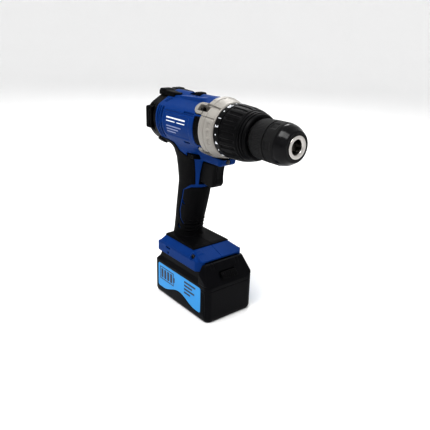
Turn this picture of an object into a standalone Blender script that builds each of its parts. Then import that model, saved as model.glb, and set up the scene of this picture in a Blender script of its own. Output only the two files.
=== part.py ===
"""Cordless drill driver with a slide-on battery pack.

Frame: +X points out of the chuck, +Y to the left of the tool, +Z up.
The origin is the middle of the battery pack's bottom face.
All driving dimensions are in millimetres; meshes are written in metres.
"""

import math

import bmesh
import bpy
from mathutils import Matrix, Vector

MM = 0.001
GAP = 0.3

# Main lines of the tool
AXIS_Z = 238.5
BARREL_HALF_WIDTH = 34.0
BARREL_HALF_HEIGHT = 31.5
BARREL_REAR_X = -60.0
BARREL_FRONT_X = 29.0
SHELL_WALL = 2.6
CAP_REAR_X = -81.0

# Gear case and clutch collar
CASE_FRONT_X = 51.0
CASE_RADIUS = 35.4
CASE_FRONT_RADIUS = 31.3
SLEEVE_RADIUS = 28.2
SLEEVE_BORE = 26.2
NOSE_TUBE_RADIUS = 18.0
NOSE_TUBE_BORE = 13.0
COLLAR_FRONT_X = 86.0
RETAINER_FRONT_X = 96.5
LUG_ANGLES = (44.0, 136.0, 231.0, 309.0)
LUG_RADIUS = 4.2
LUG_CIRCLE = 30.6
LUG_REAR_X = 14.0
SCREW_HEAD_X = 22.0

# Planetary gearbox
MODULE = 0.9
SUN_TEETH = 12
PLANET_TEETH = 18
RING_TEETH = 48
PRESSURE_ANGLE = math.radians(20)
ADDENDUM = 0.8
DEDENDUM = 1.15
BACKLASH = 0.3
PLANET_COUNT = 3
STAGE_1_X = (-3.0, 6.0)
STAGE_2_X = (10.5, 19.5)
CARRIER_PLATE = 3.0
PIN_RADIUS = 2.0
RING_X = (-4.7, 27.0)
RING_OUTER_RADIUS = 25.8

# Motor
CAN_X = (-66.0, -10.0)
CAN_RADIUS = 18.9
CAN_WALL = 1.2
SHAFT_RADIUS = 1.6
COMMUTATOR_X = (-64.5, -57.0)
COMMUTATOR_RADIUS = 6.0
BRUSH_X = (-63.0, -59.0)

# Keyless chuck
NOSE_X = 148.3
NOSE_RADIUS = 12.3
BIT_BORE_RADIUS = 7.2
CHUCK_REAR_X = 97.2
CHUCK_SPLIT_X = 119.0
CHUCK_RADIUS = 22.5
CHUCK_BODY_RADIUS = 18.0
JAW_LENGTH = 18.0
JAW_FRONT_X = 124.0
JAW_INNER_RADIUS = 6.8
JAW_THICKNESS = 4.3
JAW_HALF_WIDTH = 3.0
JAW_TILT = math.radians(15)
SPINDLE_RADIUS = 6.0

# Handle: height, centre, half depth and half width of each section
HANDLE_SECTIONS = (
    (80.0, -33.5, 18.2, 19.0),
    (92.0, -34.2, 18.6, 15.4),
    (105.0, -32.2, 18.9, 15.0),
    (124.0, -28.3, 20.4, 15.4),
    (143.0, -24.2, 21.6, 15.7),
    (161.0, -20.8, 22.2, 16.0),
    (178.0, -20.0, 24.0, 17.5),
    (192.0, -19.0, 27.0, 19.0),
    (206.0, -19.0, 33.0, 22.0),
    (216.0, -19.0, 36.0, 23.0),
)
HANDLE_WALL = 2.2
GRIP_Z = (93.0, 160.0)
GRIP_THICKNESS = 1.8
SECTION_POINTS = 18

# Snout under the gear case
SNOUT_X = (0.0, 43.0)
SNOUT_HALF_WIDTH = 13.0
SNOUT_Z = (196.0, 212.6)
LIGHT_Z = 199.9

# Foot that receives the battery
FOOT_REAR_X = -52.0
FOOT_FRONT_X = 38.0
FOOT_BOTTOM_Z = 63.0
FOOT_SHOULDER_Z = 77.0
FOOT_TOP_Z = 86.0
FOOT_HALF_WIDTH = 37.0
FOOT_WALL = 2.5
FOOT_FLOOR_TOP_Z = 65.6
FOOT_NOTCH_X = 28.0
FOOT_NOTCH_Z = 74.0
CHANNEL_HALF_WIDTH = 21.2

# Battery pack
PACK_HALF_LENGTH = 57.4
PACK_HALF_WIDTH = 37.5
PACK_CORNER = 5.0
PACK_SPLIT_Z = 44.0
PACK_SIDE_Z = 48.6
PACK_TOP_Z = 62.6
PACK_WALL = 2.2
HUMP_REAR_X = 38.6
HUMP_TOP_Z = 73.4
HUMP_HALF_WIDTH = 27.0
TONGUE_X = (-28.0, 36.0)
TONGUE_TOP_Z = 70.5
CELL_RADIUS = 9.1
CELL_LENGTH = 65.0
CELL_PITCH = 18.9

# Controls
TRIGGER_HALF_WIDTH = 8.3
TRIGGER_Z = (163.5, 195.0)
SWITCH_LOW = (-33.0, -9.0, 152.0)
SWITCH_HIGH = (-7.6, 9.0, 191.0)
LEVER_LOW = (-8.0, -21.5, 197.6)
LEVER_HIGH = (3.2, 21.5, 203.0)
SELECTOR_X = (-17.5, -7.0)
SELECTOR_HALF_WIDTH = 5.4
STEM_X = (-15.0, -9.5)
STEM_HALF_WIDTH = 3.4
SELECTOR_TRAVEL = 9.0

# Housing screws: X, Z and the Y of the right side where each head sinks in
HOUSING_SCREWS = (
    (36.0, 200.4, -13.0),
    (-23.5, 135.0, -15.6),
    (-33.0, 99.0, -15.4),
    (21.5, 78.8, -34.8),
)
SCREW_HEAD_RADIUS = 3.0
SCREW_HEAD_DEPTH = 2.0
SCREW_SHANK_RADIUS = 1.5
SCREW_SINK = 1.2

ROUND_STEPS = 32
HIDDEN_STEPS = 20
SMALL_STEPS = 10
SCREW_STEPS = 8

BLUE = (0.02, 0.09, 0.36)
BLACK = (0.02, 0.02, 0.022)
RUBBER = (0.015, 0.015, 0.016)
SILVER = (0.62, 0.61, 0.58)
STEEL = (0.5, 0.5, 0.52)
COPPER = (0.6, 0.3, 0.15)


# ---------------------------------------------------------------- helpers

def clear_scene():
    for obj in list(bpy.data.objects):
        bpy.data.objects.remove(obj)


def make_collection(name):
    collection = bpy.data.collections.new(name)
    bpy.context.scene.collection.children.link(collection)
    return collection


def make_material(name, colour, roughness, metallic=0.0):
    material = bpy.data.materials.new(name)
    material.use_nodes = True
    shader = material.node_tree.nodes["Principled BSDF"]
    shader.inputs["Base Color"].default_value = (*colour, 1.0)
    shader.inputs["Roughness"].default_value = roughness
    shader.inputs["Metallic"].default_value = metallic
    return material


def add_mesh(name, bm, collection):
    """A mesh object from a bmesh that holds millimetres."""
    bmesh.ops.scale(bm, vec=(MM, MM, MM), verts=bm.verts)
    mesh = bpy.data.meshes.new(name)
    bm.to_mesh(mesh)
    bm.free()
    obj = bpy.data.objects.new(name, mesh)
    collection.objects.link(obj)
    return obj


def set_origin(obj, origin):
    """Move an object's origin to a point in millimetres, its shape staying where it is."""
    point = Vector(origin) * MM
    obj.data.transform(Matrix.Translation(obj.location - point))
    obj.location = point
    return obj


def finish_part(obj, colour, roughness=0.5, metallic=0.0):
    obj.data.materials.append(make_material(obj.name, colour, roughness, metallic))
    return obj


def box(name, low, high, collection):
    bm = bmesh.new()
    size = [b - a for a, b in zip(low, high)]
    centre = [(a + b) / 2 for a, b in zip(low, high)]
    matrix = Matrix.Translation(centre) @ Matrix.Diagonal((*size, 1.0))
    bmesh.ops.create_cube(bm, size=1.0, matrix=matrix)
    return add_mesh(name, bm, collection)


AXIS_TURN = {
    "X": Matrix.Rotation(math.radians(90), 4, "Y"),
    "Y": Matrix.Rotation(math.radians(90), 4, "X"),
    "Z": Matrix.Identity(4),
}


def rod(name, axis, radius, centre, length, collection, steps=SMALL_STEPS):
    """A cylinder along a world axis."""
    bm = bmesh.new()
    matrix = Matrix.Translation(centre) @ AXIS_TURN[axis]
    bmesh.ops.create_cone(
        bm, cap_ends=True, segments=steps, depth=length, matrix=matrix,
        radius1=radius, radius2=radius)
    return add_mesh(name, bm, collection)


def turned(name, profile, collection, steps=ROUND_STEPS, centre=(0.0, 0.0, AXIS_Z), axis="X"):
    """A body of revolution: (radius, along) points, front to rear down the outer side.

    A profile that starts and ends on the axis is solid; any other is closed into a ring.
    """
    solid = profile[0][0] == 0.0
    bm = bmesh.new()
    verts = [bm.verts.new((radius, 0.0, along)) for radius, along in profile]
    for first, second in zip(verts, verts[1:]):
        bm.edges.new((first, second))
    if not solid:
        bm.edges.new((verts[-1], verts[0]))
    obj = add_mesh(name, bm, collection)
    obj.location = Vector(centre) * MM
    obj.rotation_euler = AXIS_TURN[axis].to_euler()
    screw = obj.modifiers.new("Screw", "SCREW")
    screw.steps = steps
    screw.render_steps = steps
    screw.use_merge_vertices = solid
    screw.merge_threshold = 0.00001
    screw.use_smooth_shade = False
    return obj


def loft(name, rings, collection):
    """A closed skin through rings of points, all with the same count, lowest ring first."""
    bm = bmesh.new()
    rows = [[bm.verts.new(point) for point in ring] for ring in rings]
    count = len(rows[0])
    for lower, upper in zip(rows, rows[1:]):
        for i in range(count):
            j = (i + 1) % count
            bm.faces.new((lower[i], lower[j], upper[j], upper[i]))
    # Skewed quads are split, so that every face a Boolean meets is flat
    bmesh.ops.triangulate(bm, faces=bm.faces)
    bm.faces.new(list(reversed(rows[0])))
    bm.faces.new(rows[-1])
    bmesh.ops.recalc_face_normals(bm, faces=bm.faces)
    return add_mesh(name, bm, collection)


def plate(name, outline, axis, low, high, collection):
    """A flat outline, given in the two other world axes, thickened from low to high."""
    curve = bpy.data.curves.new(name, "CURVE")
    curve.dimensions = "2D"
    curve.fill_mode = "BOTH"
    curve.extrude = (high - low) / 2 * MM
    spline = curve.splines.new("POLY")
    spline.points.add(len(outline) - 1)
    for point, (u, v) in zip(spline.points, outline):
        point.co = (u * MM, v * MM, 0.0, 1.0)
    spline.use_cyclic_u = True
    guide = bpy.data.objects.new(name + "_outline", curve)
    collection.objects.link(guide)
    middle = (low + high) / 2 * MM
    # Local x and y become the two outline axes, local z the thickness
    if axis == "X":
        turn = Matrix(((0, 0, 1, 0), (1, 0, 0, 0), (0, 1, 0, 0), (0, 0, 0, 1)))
        shift = Vector((middle, 0.0, 0.0))
    else:
        turn = Matrix(((1, 0, 0, 0), (0, 0, -1, 0), (0, 1, 0, 0), (0, 0, 0, 1)))
        shift = Vector((0.0, middle, 0.0))
    guide.matrix_world = Matrix.Translation(shift) @ turn
    return curve_to_mesh(guide, name, collection)


def curve_to_mesh(guide, name, collection):
    """Replace a curve object by its welded mesh."""
    bpy.context.view_layer.update()
    depsgraph = bpy.context.evaluated_depsgraph_get()
    mesh = bpy.data.meshes.new_from_object(guide.evaluated_get(depsgraph))
    bm = bmesh.new()
    bm.from_mesh(mesh)
    bmesh.ops.remove_doubles(bm, verts=bm.verts, dist=0.00001)
    bmesh.ops.recalc_face_normals(bm, faces=bm.faces)
    bm.to_mesh(mesh)
    bm.free()
    obj = bpy.data.objects.new(name, mesh)
    obj.matrix_world = guide.matrix_world
    collection.objects.link(obj)
    bpy.data.objects.remove(guide)
    return obj


def smooth_route(points, steps):
    """Catmull-Rom points through a hand-made route."""
    path = [Vector(point) for point in points]
    path = [2 * path[0] - path[1]] + path + [2 * path[-1] - path[-2]]
    route = []
    for a, b, c, d in zip(path, path[1:], path[2:], path[3:]):
        for step in range(steps):
            t = step / steps
            route.append(0.5 * (2 * b + (c - a) * t + (2 * a - 5 * b + 4 * c - d) * t * t
                                + (3 * b - a - 3 * c + d) * t ** 3))
    route.append(path[-2])
    return route


def tube(name, route, radius, collection):
    curve = bpy.data.curves.new(name, "CURVE")
    curve.dimensions = "3D"
    curve.bevel_depth = radius * MM
    curve.bevel_resolution = 2
    curve.use_fill_caps = True
    spline = curve.splines.new("POLY")
    spline.points.add(len(route) - 1)
    for point, place in zip(spline.points, route):
        point.co = (*(Vector(place) * MM), 1.0)
    obj = bpy.data.objects.new(name, curve)
    collection.objects.link(obj)
    return obj


def combine(obj, tools, operation="DIFFERENCE"):
    """Cut tools out of an object, or join them to it."""
    for tool in tools:
        modifier = obj.modifiers.new(tool.name, "BOOLEAN")
        modifier.operation = operation
        modifier.object = tool
        modifier.solver = "EXACT"
        tool.hide_render = True
        tool.display_type = "WIRE"
    return obj


def on_circle(radius, degrees):
    """Y and Z of a point around the barrel axis; 0 degrees is left, 90 is up."""
    angle = math.radians(degrees)
    return radius * math.cos(angle), AXIS_Z + radius * math.sin(angle)


# ---------------------------------------------------------------- housing

def rounded_section(z, centre_x, half_depth, half_width, grow=0.0):
    """A superellipse section of the handle."""
    power = 2 / 2.5
    ring = []
    for i in range(SECTION_POINTS):
        angle = 2 * math.pi * i / SECTION_POINTS
        c = math.cos(angle)
        s = math.sin(angle)
        x = centre_x + (half_depth + grow) * math.copysign(abs(c) ** power, c)
        y = (half_width + grow) * math.copysign(abs(s) ** power, s)
        ring.append((x, y, z))
    return ring


def handle_section_at(z):
    """Handle size at any height, between the listed sections."""
    for low, high in zip(HANDLE_SECTIONS, HANDLE_SECTIONS[1:]):
        if low[0] <= z <= high[0]:
            t = (z - low[0]) / (high[0] - low[0])
            return [a + (b - a) * t for a, b in zip(low, high)]
    raise ValueError("height outside the handle")


def handle_rings(grow, heights):
    return [rounded_section(*handle_section_at(z), grow=grow) for z in heights]


def chamfered_rectangle(z, rear, front, half_width, corner):
    return [
        (rear + corner, -half_width, z), (front - corner, -half_width, z),
        (front, -half_width + corner, z), (front, half_width - corner, z),
        (front - corner, half_width, z), (rear + corner, half_width, z),
        (rear, half_width - corner, z), (rear, -half_width + corner, z),
    ]


def foot_rings(inset, bottom_z):
    rear = FOOT_REAR_X + inset
    front = FOOT_FRONT_X - inset
    half = FOOT_HALF_WIDTH - inset
    return [
        chamfered_rectangle(bottom_z, rear, front, half, 6.0),
        chamfered_rectangle(FOOT_SHOULDER_Z - inset / 3, rear, front, half, 6.0),
        chamfered_rectangle(FOOT_TOP_Z - inset, rear + 5.0, front - 25.0, half - 9.0, 6.0),
    ]


def barrel(name, half_width, half_height, rear, front, collection):
    bm = bmesh.new()
    matrix = (Matrix.Translation(((rear + front) / 2, 0.0, AXIS_Z))
              @ Matrix.Diagonal((1.0, half_width, half_height, 1.0)) @ AXIS_TURN["X"])
    bmesh.ops.create_cone(
        bm, cap_ends=True, segments=ROUND_STEPS, depth=front - rear, matrix=matrix,
        radius1=1.0, radius2=1.0)
    return add_mesh(name, bm, collection)


def housing_tools(cutters):
    """Outer masses, inner hollows and openings that the two housing halves share."""
    heights = [section[0] for section in HANDLE_SECTIONS]
    joined = [
        loft("mass_handle", handle_rings(0.0, heights), cutters),
        box("mass_snout", (SNOUT_X[0], -SNOUT_HALF_WIDTH, SNOUT_Z[0]),
            (SNOUT_X[1], SNOUT_HALF_WIDTH, SNOUT_Z[1]), cutters),
        loft("mass_foot", foot_rings(0.0, FOOT_BOTTOM_Z), cutters),
    ]
    inner_heights = heights[:-1] + [215.0]
    hollow = [
        barrel("hollow_barrel", BARREL_HALF_WIDTH - SHELL_WALL, BARREL_HALF_HEIGHT - SHELL_WALL,
               BARREL_REAR_X - 5.0, BARREL_FRONT_X + 5.0, cutters),
        loft("hollow_handle", handle_rings(-HANDLE_WALL, inner_heights), cutters),
        loft("hollow_foot", foot_rings(FOOT_WALL, FOOT_FLOOR_TOP_Z), cutters),
    ]
    bosses = []
    for number, (x, z, head_y) in enumerate(HOUSING_SCREWS[1:], 1):
        half = min(abs(head_y) + 0.4, 33.0)
        bosses.append(rod(f"boss_{number}", "Y", 4.2, (x, 0.0, z), 2 * half - 2.0, cutters))
    for number, degrees in enumerate(LUG_ANGLES, 1):
        y, z = on_circle(LUG_CIRCLE - 1.0, degrees)
        bosses.append(rod(f"case_boss_{number}", "X", 3.6, (7.7, y, z), 11.0, cutters))
    trigger_low = (-8.0, -TRIGGER_HALF_WIDTH - 0.5, TRIGGER_Z[0] - 0.6)
    trigger_high = (45.0, TRIGGER_HALF_WIDTH + 0.5, TRIGGER_Z[1] + 0.6)
    openings = [
        rod("room_gear_case", "X", CASE_RADIUS + GAP, (49.0, 0.0, AXIS_Z), 40.0, cutters,
            ROUND_STEPS),
        rod("room_sleeve", "X", SLEEVE_RADIUS + 0.4, (15.0, 0.0, AXIS_Z), 48.8, cutters,
            ROUND_STEPS),
        box("room_trigger", trigger_low, trigger_high, cutters),
        box("room_lever", (LEVER_LOW[0] - 0.5, -60.0, LEVER_LOW[2] - 0.5),
            (LEVER_HIGH[0] + 0.5, 60.0, LEVER_HIGH[2] + 0.5), cutters),
        box("slot_selector",
            (STEM_X[0] - SELECTOR_TRAVEL - 0.6, -STEM_HALF_WIDTH - 0.5, AXIS_Z + 26.0),
            (STEM_X[1] + 0.6, STEM_HALF_WIDTH + 0.5, AXIS_Z + 40.0), cutters),
        box("foot_notch", (FOOT_NOTCH_X, -60.0, 40.0), (80.0, 60.0, FOOT_NOTCH_Z), cutters),
        box("foot_channel", (TONGUE_X[0] - 21.0, -CHANNEL_HALF_WIDTH, 55.0),
            (60.0, CHANNEL_HALF_WIDTH, FOOT_FLOOR_TOP_Z + 1.0), cutters),
        rod("room_light", "X", 3.4, (SNOUT_X[1], 0.0, LIGHT_Z), 4.0, cutters),
    ]
    for number, degrees in enumerate(LUG_ANGLES, 1):
        y, z = on_circle(LUG_CIRCLE, degrees)
        openings.append(rod(f"room_lug_{number}", "X", LUG_RADIUS + 0.4,
                            (LUG_REAR_X + 14.6, y, z), 30.0, cutters))
        openings.append(rod(f"room_case_screw_{number}", "X", SCREW_SHANK_RADIUS + 0.3,
                            (10.0, y, z), 30.0, cutters))
    for number, (x, z, head_y) in enumerate(HOUSING_SCREWS, 1):
        openings.append(rod(f"room_screw_{number}", "Y", SCREW_SHANK_RADIUS + 0.3,
                            (x, head_y + 12.0, z), 24.0, cutters))
        openings.append(rod(f"room_head_{number}", "Y", SCREW_HEAD_RADIUS + 0.4,
                            (x, head_y - 9.0 + SCREW_SINK + SCREW_HEAD_DEPTH + GAP, z), 18.0,
                            cutters))
    return joined, hollow, bosses, openings


def housing_half(name, side, tools, parts, cutters):
    """One clamshell half; side is -1 for the right half and +1 for the left."""
    joined, hollow, bosses, openings = tools
    half = barrel(name, BARREL_HALF_WIDTH, BARREL_HALF_HEIGHT, BARREL_REAR_X,
                  BARREL_FRONT_X - GAP, parts)
    low_y = min(-side * 80.0, side * GAP / 2)
    high_y = max(-side * 80.0, side * GAP / 2)
    away = box(name + "_other_side", (-150.0, low_y, 0.0), (150.0, high_y, 350.0), cutters)
    combine(half, joined, "UNION")
    combine(half, hollow)
    combine(half, bosses, "UNION")
    combine(half, openings)
    combine(half, [away])
    return finish_part(half, BLUE, 0.45)


def make_housing(parts, cutters):
    tools = housing_tools(cutters)
    housing_half("housing_right", -1, tools, parts, cutters)
    housing_half("housing_left", 1, tools, parts, cutters)
    make_grips(parts, cutters)
    make_rear_cap(parts)
    bumper = loft("top_bumper", top_pad_rings(), parts)
    finish_part(bumper, RUBBER, 0.8)


def make_grips(parts, cutters):
    """Two soft overmoulds that wrap the handle."""
    heights = [GRIP_Z[0], 105.0, 124.0, 143.0, GRIP_Z[1]]
    core_heights = [section[0] for section in HANDLE_SECTIONS[:7]]
    core = loft("grip_core", handle_rings(GAP, core_heights), cutters)
    for name, side in (("grip_right", -1), ("grip_left", 1)):
        grip = loft(name, handle_rings(GAP + GRIP_THICKNESS, heights), parts)
        low_y = min(-side * 40.0, side * GAP / 2)
        high_y = max(-side * 40.0, side * GAP / 2)
        away = box(name + "_other_side", (-100.0, low_y, 60.0), (60.0, high_y, 200.0), cutters)
        combine(grip, [core, away])
        if side < 0:
            heads = [rod(f"grip_hole_{number}", "Y", SCREW_HEAD_RADIUS + 0.8,
                         (x, -20.0, z), 30.0, cutters)
                     for number, (x, z, _) in enumerate(HOUSING_SCREWS[1:3], 1)]
            combine(grip, heads)
        finish_part(grip, RUBBER, 0.85)


def make_rear_cap(parts):
    front = BARREL_REAR_X - GAP
    cap = turned("rear_cap", [
        (0.0, CAP_REAR_X + 3.0), (28.0, CAP_REAR_X + 3.0), (30.6, -75.0), (30.8, front),
        (33.6, front), (33.8, -74.0), (32.4, -79.0), (29.0, CAP_REAR_X), (0.0, CAP_REAR_X),
    ], parts)
    # Flattened like the barrel; the cap's local X is the world's vertical
    cap.scale.x = BARREL_HALF_HEIGHT / BARREL_HALF_WIDTH
    finish_part(cap, BLACK, 0.6)


def top_pad_rings():
    """A raised pad on the barrel's rear top, its underside clear of the barrel."""
    rings = []
    low = BARREL_HALF_HEIGHT + GAP
    for x, height in ((-79.0, 34.6), (-46.0, 34.6), (-38.0, 33.0)):
        rings.append([(x, -9.0, AXIS_Z + low), (x, 9.0, AXIS_Z + low),
                      (x, 8.0, AXIS_Z + height), (x, -8.0, AXIS_Z + height)])
    return rings


# ---------------------------------------------------------------- gear case and clutch

def make_gear_case(parts, cutters):
    case = turned("gear_case", [
        (NOSE_TUBE_RADIUS, 85.0), (NOSE_TUBE_RADIUS, CASE_FRONT_X),
        (CASE_FRONT_RADIUS, CASE_FRONT_X), (34.2, 42.0), (CASE_RADIUS, 35.0),
        (CASE_RADIUS, BARREL_FRONT_X), (32.8, BARREL_FRONT_X), (32.8, 39.0),
        (SLEEVE_RADIUS, 39.0), (SLEEVE_RADIUS, -9.0), (SLEEVE_BORE, -9.0),
        (SLEEVE_BORE, 45.0), (NOSE_TUBE_BORE, 45.0), (NOSE_TUBE_BORE, 85.0),
    ], parts)
    lugs = []
    holes = []
    for number, degrees in enumerate(LUG_ANGLES, 1):
        y, z = on_circle(LUG_CIRCLE, degrees)
        length = 40.0 - LUG_REAR_X
        lugs.append(rod(f"lug_{number}", "X", LUG_RADIUS, (LUG_REAR_X + length / 2, y, z),
                        length, cutters))
        holes.append(rod(f"lug_scallop_{number}", "X", SCREW_HEAD_RADIUS + 0.4,
                         (SCREW_HEAD_X + 12.0, y, z), 24.0, cutters))
        holes.append(rod(f"lug_hole_{number}", "X", SCREW_SHANK_RADIUS + 0.3,
                         (SCREW_HEAD_X - 4.0, y, z), 20.0, cutters))
        screw = turned(f"case_screw_{number}", screw_profile(18.0), parts, SCREW_STEPS,
                       (SCREW_HEAD_X + SCREW_HEAD_DEPTH + GAP, y, z))
        finish_part(screw, BLACK, 0.4, 0.8)
    combine(case, lugs, "UNION")
    combine(case, holes)
    finish_part(case, SILVER, 0.4, 0.6)


def screw_profile(length):
    """Head top at zero, shank running down, with a round recess for the driver."""
    return [
        (0.0, -1.2), (1.3, -1.2), (1.3, 0.0), (SCREW_HEAD_RADIUS - 0.4, 0.0),
        (SCREW_HEAD_RADIUS, -0.5), (SCREW_HEAD_RADIUS, -SCREW_HEAD_DEPTH),
        (SCREW_SHANK_RADIUS, -SCREW_HEAD_DEPTH), (SCREW_SHANK_RADIUS, 0.5 - length),
        (SCREW_SHANK_RADIUS - 0.5, -length), (0.0, -length),
    ]


def make_clutch(parts):
    rear = CASE_FRONT_X + 0.4
    collar = turned("clutch_collar", [
        (28.3, COLLAR_FRONT_X), (30.4, 76.0), (31.4, 60.0), (31.4, 56.0), (31.0, rear),
        (25.6, rear), (25.6, COLLAR_FRONT_X - 4.0), (NOSE_TUBE_RADIUS + 0.4, COLLAR_FRONT_X - 4.0),
        (NOSE_TUBE_RADIUS + 0.4, COLLAR_FRONT_X),
    ], parts)
    finish_part(collar, BLACK, 0.5)
    rear = COLLAR_FRONT_X + 0.4
    retainer = turned("collar_retainer", [
        (24.6, RETAINER_FRONT_X), (25.6, RETAINER_FRONT_X - 1.2), (27.2, 90.0), (27.8, rear),
        (NOSE_TUBE_RADIUS + 0.4, rear), (NOSE_TUBE_RADIUS + 0.4, RETAINER_FRONT_X - 3.0),
        (20.4, RETAINER_FRONT_X),
    ], parts)
    finish_part(retainer, BLACK, 0.6)
    turns = 4
    points_a_turn = 10
    route = []
    for i in range(turns * points_a_turn + 1):
        angle = 2 * math.pi * i / points_a_turn
        x = 54.0 + (80.0 - 54.0) * i / (turns * points_a_turn)
        route.append((x, 21.8 * math.cos(angle), AXIS_Z + 21.8 * math.sin(angle)))
    finish_part(tube("clutch_spring", route, 1.2, parts), STEEL, 0.3, 1.0)


# ---------------------------------------------------------------- gearbox

def involute(angle):
    return math.tan(angle) - angle


def tooth_half_angle(teeth, radius, space=False):
    """Half the angle of a tooth at a radius, or of a ring's tooth when space is set."""
    pitch_radius = MODULE * teeth / 2
    base_radius = pitch_radius * math.cos(PRESSURE_ANGLE)
    at_radius = math.acos(min(1.0, base_radius / max(radius, base_radius)))
    turn = involute(PRESSURE_ANGLE) - involute(at_radius)
    if space:
        turn = -turn
    return (math.pi / 2 / teeth) - BACKLASH / 2 / pitch_radius + turn


def gear_outline(teeth, phase, inner_radius, outer_radius, internal=False):
    """Straight-sided teeth through the involute's end points."""
    points = []
    for tooth in range(teeth):
        centre = phase + 2 * math.pi * tooth / teeth
        base_half = tooth_half_angle(teeth, outer_radius if internal else inner_radius, internal)
        tip_half = tooth_half_angle(teeth, inner_radius if internal else outer_radius, internal)
        base_radius = outer_radius if internal else inner_radius
        tip_radius = inner_radius if internal else outer_radius
        for angle, radius in ((-base_half, base_radius), (-tip_half, tip_radius),
                              (tip_half, tip_radius), (base_half, base_radius)):
            points.append((radius * math.cos(centre + angle), radius * math.sin(centre + angle)))
    return points


def gear_ring(name, outer, inner, x_range, centre, collection):
    """A prism along X between an outer and an inner outline with matched ends."""
    bm = bmesh.new()
    loops = []
    for x in x_range:
        for outline in (outer, inner):
            verts = [bm.verts.new((x, y + centre[0], z + centre[1])) for y, z in outline]
            edges = [bm.edges.new((a, b)) for a, b in zip(verts, verts[1:] + verts[:1])]
            loops.append((verts, edges))
    for side in (0, 1):
        rear = loops[side][0]
        front = loops[2 + side][0]
        for i in range(len(rear)):
            j = (i + 1) % len(rear)
            bm.faces.new((rear[i], rear[j], front[j], front[i]))
    for end in (0, 2):
        edges = loops[end][1] + loops[end + 1][1]
        bmesh.ops.triangle_fill(bm, edges=edges, use_beauty=True)
    bmesh.ops.recalc_face_normals(bm, faces=bm.faces)
    return add_mesh(name, bm, collection)


def circle_outline(radius, count):
    return [(radius * math.cos(2 * math.pi * i / count), radius * math.sin(2 * math.pi * i / count))
            for i in range(count)]


def external_gear(name, teeth, phase, x_range, centre, bore, collection):
    pitch_radius = MODULE * teeth / 2
    outline = gear_outline(teeth, phase, pitch_radius - DEDENDUM * MODULE,
                           pitch_radius + ADDENDUM * MODULE)
    return gear_ring(name, outline, circle_outline(bore, SMALL_STEPS), x_range, centre, collection)


def sun_prism(name, x_range, collection):
    """A solid sun gear, used to join onto a carrier."""
    pitch_radius = MODULE * SUN_TEETH / 2
    outline = gear_outline(SUN_TEETH, 0.0, pitch_radius - DEDENDUM * MODULE,
                           pitch_radius + ADDENDUM * MODULE)
    rings = [[(x, y, z + AXIS_Z) for y, z in outline] for x in x_range]
    return loft(name, rings, collection)


def carrier_pins(name, x_range, cutters):
    distance = MODULE * (SUN_TEETH + PLANET_TEETH) / 2
    pins = []
    for number in range(PLANET_COUNT):
        y, z = on_circle(distance, 360.0 * number / PLANET_COUNT)
        pins.append(rod(f"{name}_{number + 1}", "X", PIN_RADIUS,
                        (sum(x_range) / 2, y, z), x_range[1] - x_range[0], cutters))
    return pins


def make_gearbox(parts, cutters):
    pitch_radius = MODULE * RING_TEETH / 2
    inner = gear_outline(RING_TEETH, 0.0, pitch_radius - ADDENDUM * MODULE,
                         pitch_radius + DEDENDUM * MODULE, internal=True)
    ring = gear_ring("ring_gear", circle_outline(RING_OUTER_RADIUS, HIDDEN_STEPS), inner,
                     RING_X, (0.0, AXIS_Z), parts)
    finish_part(ring, STEEL, 0.4, 1.0)
    distance = MODULE * (SUN_TEETH + PLANET_TEETH) / 2
    half_tooth = math.pi / PLANET_TEETH
    for stage, x_range in ((1, STAGE_1_X), (2, STAGE_2_X)):
        for number in range(PLANET_COUNT):
            degrees = 360.0 * number / PLANET_COUNT
            y, z = on_circle(distance, degrees)
            phase = math.radians(degrees + 180.0) - half_tooth
            planet = external_gear(f"planet_{stage}_{number + 1}", PLANET_TEETH, phase, x_range,
                                   (y, z), PIN_RADIUS + 0.3, parts)
            set_origin(planet, (sum(x_range) / 2, y, z))
            finish_part(planet, STEEL, 0.35, 1.0)
    pinion = external_gear("motor_pinion", SUN_TEETH, 0.0, (STAGE_1_X[0], STAGE_1_X[1] - 0.5),
                           (0.0, AXIS_Z), SHAFT_RADIUS + 0.3, parts)
    set_origin(pinion, (STAGE_1_X[0], 0.0, AXIS_Z))
    finish_part(pinion, STEEL, 0.35, 1.0)
    make_carriers(parts, cutters)
    plate_ring = turned("gearbox_plate", [
        (25.6, -5.0), (25.6, -9.7), (8.0, -9.7), (8.0, -5.0)], parts, HIDDEN_STEPS)
    finish_part(plate_ring, STEEL, 0.5, 0.9)
    bearing = turned("spindle_bearing", [
        (12.7, 80.0), (12.7, 71.0), (SPINDLE_RADIUS + 0.3, 71.0), (SPINDLE_RADIUS + 0.3, 80.0)],
        parts, HIDDEN_STEPS)
    finish_part(bearing, STEEL, 0.3, 1.0)


def make_carriers(parts, cutters):
    plate_1 = (STAGE_1_X[1] + 0.6, STAGE_1_X[1] + 0.6 + CARRIER_PLATE)
    carrier = turned("planet_carrier", [
        (0.0, plate_1[1]), (17.5, plate_1[1]), (17.5, plate_1[0]), (0.0, plate_1[0])],
        parts, HIDDEN_STEPS)
    combine(carrier, carrier_pins("carrier_pin", (STAGE_1_X[0], plate_1[1] - 1.0), cutters)
            + [sun_prism("carrier_sun", (plate_1[0] + 1.0, STAGE_2_X[1]), cutters)], "UNION")
    finish_part(carrier, STEEL, 0.4, 1.0)
    plate_2 = (STAGE_2_X[1] + 0.6, STAGE_2_X[1] + 0.6 + 4.0)
    spindle = turned("output_spindle", [
        (0.0, 105.0), (SPINDLE_RADIUS - 0.6, 105.0), (SPINDLE_RADIUS, 104.0),
        (SPINDLE_RADIUS, plate_2[1]), (17.5, plate_2[1]), (17.5, plate_2[0]),
        (0.0, plate_2[0])], parts, HIDDEN_STEPS)
    combine(spindle, carrier_pins("spindle_pin", (STAGE_2_X[0], plate_2[1] - 1.0), cutters),
            "UNION")
    finish_part(spindle, STEEL, 0.35, 1.0)


# ---------------------------------------------------------------- motor

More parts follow.
